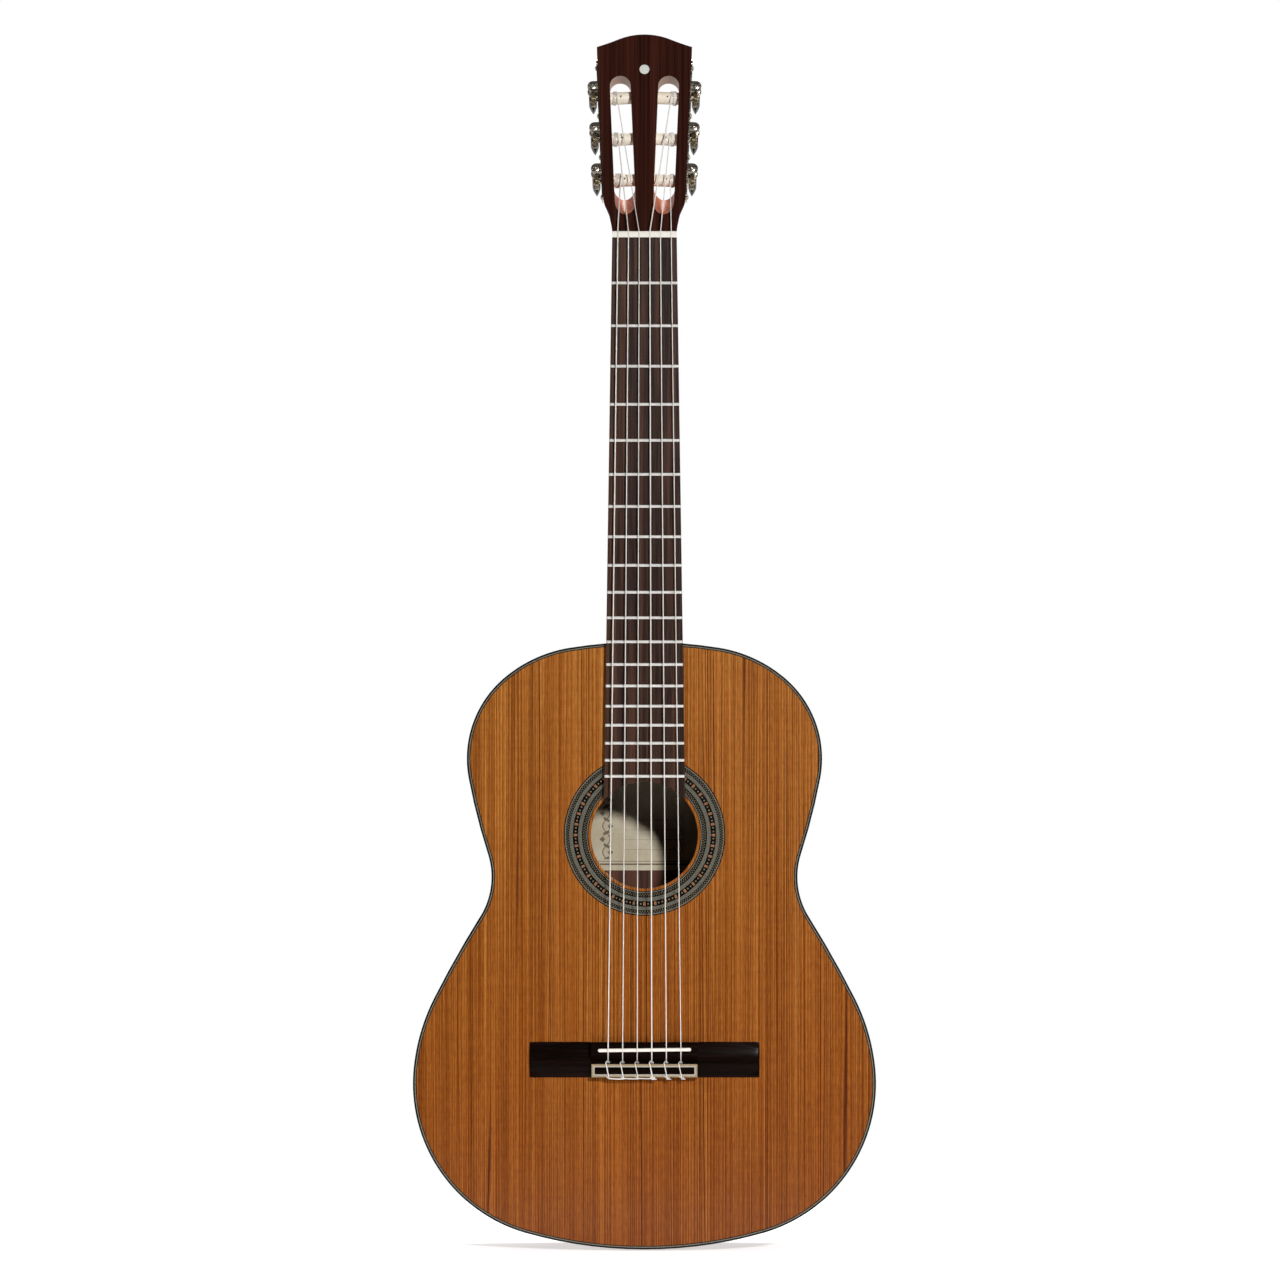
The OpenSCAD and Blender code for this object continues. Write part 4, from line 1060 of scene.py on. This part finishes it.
def blend_block():
    """Everything in front of the neck's round back as it runs out into the head's flat one."""
    rings = []
    section = neck_section(0)
    for z, t in ((-0.2, 0), (0, 0), (22, 1), (180, 1)):
        row = []
        for k, (x, y, _) in enumerate(section):
            wide, deep = copysign(60, x + 1e-9), HEAD_T if 0 < k < len(section) - 1 else 0
            row.append((x * (1 - t) + wide * t, y * HEAD_T / NECK_T * (1 - t) + deep * t, z))
        rings.append([(row[0][0], -20, z)] + row + [(row[-1][0], -20, z)])
    return solid("cutter", rings, "mahogany", head_point)


def waist_block():
    """Behind the curve where the neck widens into the head, the wood runs straight back."""
    low = [(x, z) for x, z in head_outline() if x > 0 and z <= SIDE_LOW + 1e-6]
    curve = [(x, head_point((x, -VENEER_T, z))[2]) for x, z in low]
    right = [(NUT_W / 2, -5)] + curve + [(60, curve[-1][1]), (60, HEAD_L + 20)]
    loop = right + [(-x, z) for x, z in right[::-1]]
    return solid("cutter", [[(x, y, z) for x, z in loop] for y in (-20, 80)], "mahogany")


def make_head():
    loop = head_outline()
    face = plate("head_veneer_face", loop, rim_profile(-VENEER_T, 0, 0.5), "head_face", head_point)
    carve(face, slot_cutters())
    round_edges(face, 0.3, 2, 50)
    hand_over(face, ROOT, "rosewood", "head_veneer")
    back = plate("headstock_wood", loop, rim_profile(HEAD_T, 0, 1.2)[::-1], "mahogany", head_point)
    carve(back, [blend_block(), waist_block()], "INTERSECT")
    carve(back, slot_cutters() + bore_cutters())
    hand_over(back, ROOT, "mahogany", "headstock")


def make_inlay():
    """A plain pearl disc."""
    disc = [(INLAY_R * sin(t), INLAY_Z + INLAY_R * cos(t)) for t in turn(48)]
    profile = [(0.35, -VENEER_T - 0.12), (0.12, -VENEER_T - 0.07), (0, -VENEER_T), (0, -1.5)]
    hand_over(plate("head_inlay_pearl", disc, profile, "pearl", head_point), ROOT, "pearl", "head_inlay")


# ---- tuners


def string_finish(i):
    """The material and the slot of string i."""
    return ("nylon", "nylon") if i < 3 else (f"wound_string_{STRING_R[i]}", "wound_string")


def make_roller(i):
    """The sleeve with softened ends and a string hole, and the string's turns next to the fixed one."""
    n, r, wire = i + 1, ROLLER_R, STRING_R[i]
    a, b = -ROLLER_IN, -0.3
    profile = [(a, POST_R), (a, r - 0.5), (a + 0.15, r - 0.15), (a + 0.5, r), (b - 0.4, r), (b, r - 0.4),
               (b, POST_R)]
    rings = [[(x, -q * cos(t), q * sin(t)) for x, q in profile] for t in turn(56)]
    obj = solid(f"roller_sleeve_{n}", rings, "roller_plastic", on_roller(i), loop=True)
    wrap_x = SLOT_X - SIDE_X + WRAP_OUT[i]
    rings = [[(wrap_x - 3.2 + 0.9 * cos(t), y, 0.9 * sin(t)) for t in turn(20)] for y in (-8, 8)]
    carve(obj, [solid("cutter", rings, "roller_plastic", on_roller(i))])
    hand_over(obj, f"roller_shaft_{n}", "roller_plastic", f"roller_{n}")
    start, around, steps = wrap_x + 2 * wire + CLEAR, ROLLER_R + wire + CLEAR, 28
    path = []
    for k in range(steps * WRAPS + 1):
        t = 2 * pi * k / steps
        path.append((start + k / steps * (2 * wire - 0.02), -around * cos(t), around * sin(t)))
    mat, slot = string_finish(i)
    hand_over(tube(f"string_turns_{n}", path, wire, mat, 10, on_roller(i)), f"roller_shaft_{n}", slot)


def make_worm(i):
    """The worm's shaft with its journals and collars, and the thread that runs round it."""
    n, hand = i + 1, side_of(i)

    def upright(p):
        return on_roller(i)((WORM_X - p[1], p[0], WORM_DROP - p[2]))

    def worm_frame(p):
        return on_roller(i)((WORM_X - p[1], p[2], WORM_DROP - p[0]))

    rings = [[(a, -r * cos(t), r * sin(t)) for t in turn(36)] for a, r in WORM_PROFILE]
    obj = solid(f"worm_shaft_metal_{n}", rings, "nickel", upright)
    hand_over(obj, f"worm_shaft_{n}", "tuner_metal", f"worm_{n}")
    rings = []
    count = round(WORM_STEPS * WORM_TURNS)
    for k in range(count + 1):
        t = 2 * pi * (k - count / 2) / WORM_STEPS
        out = WORM_CORE - 0.1 + (WORM_CREST - WORM_CORE + 0.1) * min(1.0, k / 9, (count - k) / 9)
        section = [(WORM_CORE - 0.2, -0.72), (out - 0.12, -0.32), (out, -0.2), (out, 0.2), (out - 0.12, 0.32),
                   (WORM_CORE - 0.2, 0.72)]
        rings.append([(-c * cos(t), -hand * c * sin(t), WORM_PITCH * t / 2 / pi + d) for c, d in section])
    hand_over(solid(f"worm_thread_{n}", rings, "nickel", worm_frame), f"worm_shaft_{n}", "tuner_metal")


def make_button(i):
    """The oval button, arched on both broad faces."""
    rings = []
    for k in range(BUTTON_STEPS + 1):
        u = 0.02 + 0.98 * (1 - cos(pi * k / BUTTON_STEPS)) / 2
        edge = max(0.15, BUTTON_HALF * max(0.0, sin(pi * min(1.0, u ** 0.72))) ** 0.62)
        row = []
        for t in turn(44):
            z = edge * copysign(abs(cos(t)) ** 0.8, cos(t))
            arch = sqrt(BUTTON_ARCH ** 2 - z * z) - (BUTTON_ARCH - BUTTON_T / 2)
            x = min(arch, 0.25 + edge * 0.9) * copysign(abs(sin(t)) ** 0.62, sin(t))
            row.append((WORM_X + x, BUTTON_START - ROLLER_Y + BUTTON_L * u, WORM_DROP + z))
        rings.append(row)
    obj = solid(f"tuner_button_{i + 1}", rings, "button_plastic", on_roller(i), smooth=radians(60))
    hand_over(obj, f"worm_shaft_{i + 1}", "button_plastic", f"button_{i + 1}")


# ---- strings


def wrap_path(i):
    """Where the string winds on: from the roller's far side back to where it first touches."""
    r = ROLLER_R + STRING_R[i] + CLEAR
    y = ROLLER_Y - STRING_NUT_Y * cos(HEAD_TILT)
    z = ROLLER_Z[roller_of(i)] - STRING_NUT_Y * sin(HEAD_TILT)
    lead = atan2(y, z) - asin(r / hypot(y, z))
    x = SLOT_X - SIDE_X + WRAP_OUT[i]
    return [on_roller(i)((x, -r * cos(t), r * sin(t))) for t in sweep(pi, lead, 20)]


def make_string(i):
    r = STRING_R[i]
    x0, x = string_x(i, NUT_SPREAD), string_x(i, SADDLE_SPREAD)
    crown = SADDLE_Z + x * tan(SADDLE_SLANT)
    top = SADDLE_TOP - r + 0.05
    front = TIE_Z + TIE_L + r + 0.1
    path = wrap_path(i)
    path += [(x0, STRING_NUT_Y, z) for z in (NUT_L - 0.4, NUT_L - 1.2, 0.6, 0)]
    path += [(x, top, crown + 0.9), (x, top - 0.02, crown), (x, top + 0.12, crown - 1.2),
             (x, top + 0.6, crown - 2.1), (x, TIE_HOLE_Y - 0.3, front + 0.6)]
    path += [(x, TIE_HOLE_Y, z) for z in (front, TIE_Z + TIE_L / 2, TIE_Z)]
    mat, slot = string_finish(i)
    hand_over(tube(f"string_{i + 1}_run", path, r, mat, 14), ROOT, slot, f"string_{i + 1}")
    hand_over(tube(f"string_{i + 1}_tie", tie_path(i), r, mat, 12), ROOT, slot)
    hand_over(tube(f"string_{i + 1}_tail", tail_path(i), r, mat, 12), ROOT, slot)


def tie_path(i):
    """Out of the hole, up round the block's tail edge, over its top on a slant, and round the string."""
    r = STRING_R[i]
    x = string_x(i, SADDLE_SPREAD)
    over = TIE_Y - r - 0.05
    front, rear = TIE_Z + TIE_L + r + 0.1, TIE_Z - r - 0.05
    return curve_through([
        (x, TIE_HOLE_Y, TIE_Z + 1), (x, TIE_HOLE_Y, rear + 0.2), (x + 0.2, TIE_HOLE_Y - 0.8, rear),
        (x + 0.5, over + 1.2, rear), (x + 0.7, over + 0.15, rear + 0.15), (x + 0.5, over, rear + 1.2),
        (x - 1.5, over, front - 1.4), (x - 1.8, over + 0.1, front - 0.3), (x - 1.9, over + 0.7, front),
        (x - 1.7, over + 2.2, front + 0.1), (x - 0.9, over + 3.4, front + r + 0.5),
        (x + 0.4, TIE_HOLE_Y + 0.8, front + r + 0.4), (x + 1.1, over + 3.4, front + 0.2),
        (x + 1.0, over + 2.6, front)], 6)


def tail_path(i):
    """The string's end: tucked along the tail edge for the wound strings, twisted up for the plain ones."""
    r = STRING_R[i]
    x = string_x(i, SADDLE_SPREAD)
    over, rear = TIE_Y - r - 0.05, TIE_Z - r - 0.05
    if i < 3:
        coil = []
        for t in [k / 8 for k in range(4, 26)]:
            y, z = 0.5 - 0.9 * sin(2 * pi * t), 0.2 - 0.9 * cos(2 * pi * t)
            coil.append((x - 0.6 + 1.1 * t, over + y, rear + z))
        ends = (x - 1.4, over + 0.2, rear + 1.3), (x + 3.6, over - 0.6, rear - 0.5)
        return curve_through([ends[0]] + coil + [ends[1]], 4)
    return curve_through([
        (x - 1.3, over - 0.2, TIE_Z + 1.2), (x + 0.3, over - 2 * r, TIE_Z + 0.1),
        (x + 1.8, over - 0.6, rear + 0.1), (x + 4.5, over + 0.1, rear - 0.1),
        (x + 8.0, over + 0.2, rear - 0.2), (x + 11.0, over + 0.4, rear - 0.2),
        (x + 13.0, over + 0.8, rear - 0.3)], 6)


# ---- CAD pieces that stay, with their finishes


def dress(node, mat):
    """Gives a CAD node that stays its material."""
    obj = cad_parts[node]
    obj.data.materials.clear()
    obj.data.materials.append(MAT[mat])


def dress_cad():
    for node in ("linings", "top_braces", "bridge_patch", "back_braces"):
        dress(node, "spruce")
    for node in ("neck_block", "tail_block"):
        dress(node, "mahogany")
    for node in ("end_graft", "heel_cap"):
        dress(node, "black_wood")
    dress("label", "paper_label")
    for node, mat in (("tuner_plate_treble", "tuner_plate"), ("tuner_plate_bass", "tuner_plate"),
                      ("plate_screws", "nickel"), *[(f"gear_{n}", "brass") for n in range(1, 7)]):
        dress(node, mat)


# ---- stage, light and camera

AIM = Vector((-3.6 * MM, FRONT * MM, (CAD_BOX[0][2] + CAD_BOX[1][2]) / 2))
DISTANCE = 6.5
VIEW_HEIGHT = 1.030
FLOOR_R = 600.0
SENSOR = 36.0


def area_light(name, place, size, power, colour=(1, 1, 1)):
    light = bpy.data.lights.new(name, "AREA")
    light.shape, light.size, light.energy, light.color = "DISK", size, power, colour
    obj = bpy.data.objects.new(name, light)
    obj.location = AIM + Vector(place)
    obj.rotation_euler = (-Vector(place)).to_track_quat("-Z", "Y").to_euler()
    bpy.context.scene.collection.objects.link(obj)


def make_world():
    """White behind the object. The light on it is dim from the front, where a studio is dark."""
    world = bpy.data.worlds.new("studio")
    world.use_nodes = True
    world.node_tree.nodes.clear()
    s = Nodes(world.node_tree)
    split = s.add("SeparateXYZ", {0: s.add("TexCoord", {}).outputs["Generated"]})
    strength = s.band(split.outputs["Y"], -0.5, 0.4, 0.02, 0.6)
    light = s.add("Background", {"Color": (1, 1, 1, 1), "Strength": strength})
    white = s.add("Background", {"Color": (1, 1, 1, 1), "Strength": 1.0})
    seen = s.add("LightPath", {}).outputs["Is Camera Ray"]
    mix = s.add("MixShader", {0: seen, 1: light.outputs[0], 2: white.outputs[0]})
    s.add("OutputWorld", {"Surface": mix.outputs[0]})
    bpy.context.scene.world = world


def make_floor():
    """A pale disc just under the guitar, small enough not to light the inside of the body."""
    s = Shade("pale_floor", rough=0.9, spec=0.1)
    s.finish(s.mix(s.noise((400, 400, 400)), "fafafa", WHITE))
    s.feed(s.bsdf.inputs["Emission Color"], (1, 1, 1, 1))
    s.feed(s.bsdf.inputs["Emission Strength"], 0.62)
    low = CAD_BOX[0][2] / MM - 1.0
    rings = [[(FLOOR_R * cos(t), FLOOR_R * sin(t), z) for t in turn(96)] for z in (low - 8, low)]
    obj = solid("floor", rings, [s.mat])


def make_camera():
    cam = bpy.data.cameras.new("camera")
    cam.sensor_width = SENSOR
    cam.lens = SENSOR * DISTANCE / VIEW_HEIGHT
    cam.clip_end = 100
    obj = bpy.data.objects.new("camera", cam)
    obj.location = AIM - Vector((0, DISTANCE, 0))
    obj.rotation_euler = (pi / 2, 0, 0)
    bpy.context.scene.collection.objects.link(obj)
    bpy.context.scene.camera = obj


for make in (make_soundboard, make_rosette, make_edges, make_ribs, make_back, make_bridge, make_tie_border,
             make_saddle, make_neck, make_fingerboard, make_frets, make_nut, make_head, make_inlay):
    make()
for index in range(6):
    for make in (make_roller, make_worm, make_button, make_string):
        make(index)
dress_cad()
make_world()
make_floor()
area_light("key", (1.38, -4.0, 1.08), 0.42, 172)
area_light("top", (0.3, 1.6, 3.4), 1.4, 60)
area_light("fill", (-3.4, -2.6, 0.2), 2.2, 9)
make_camera()
bpy.context.scene.view_settings.view_transform = "Standard"
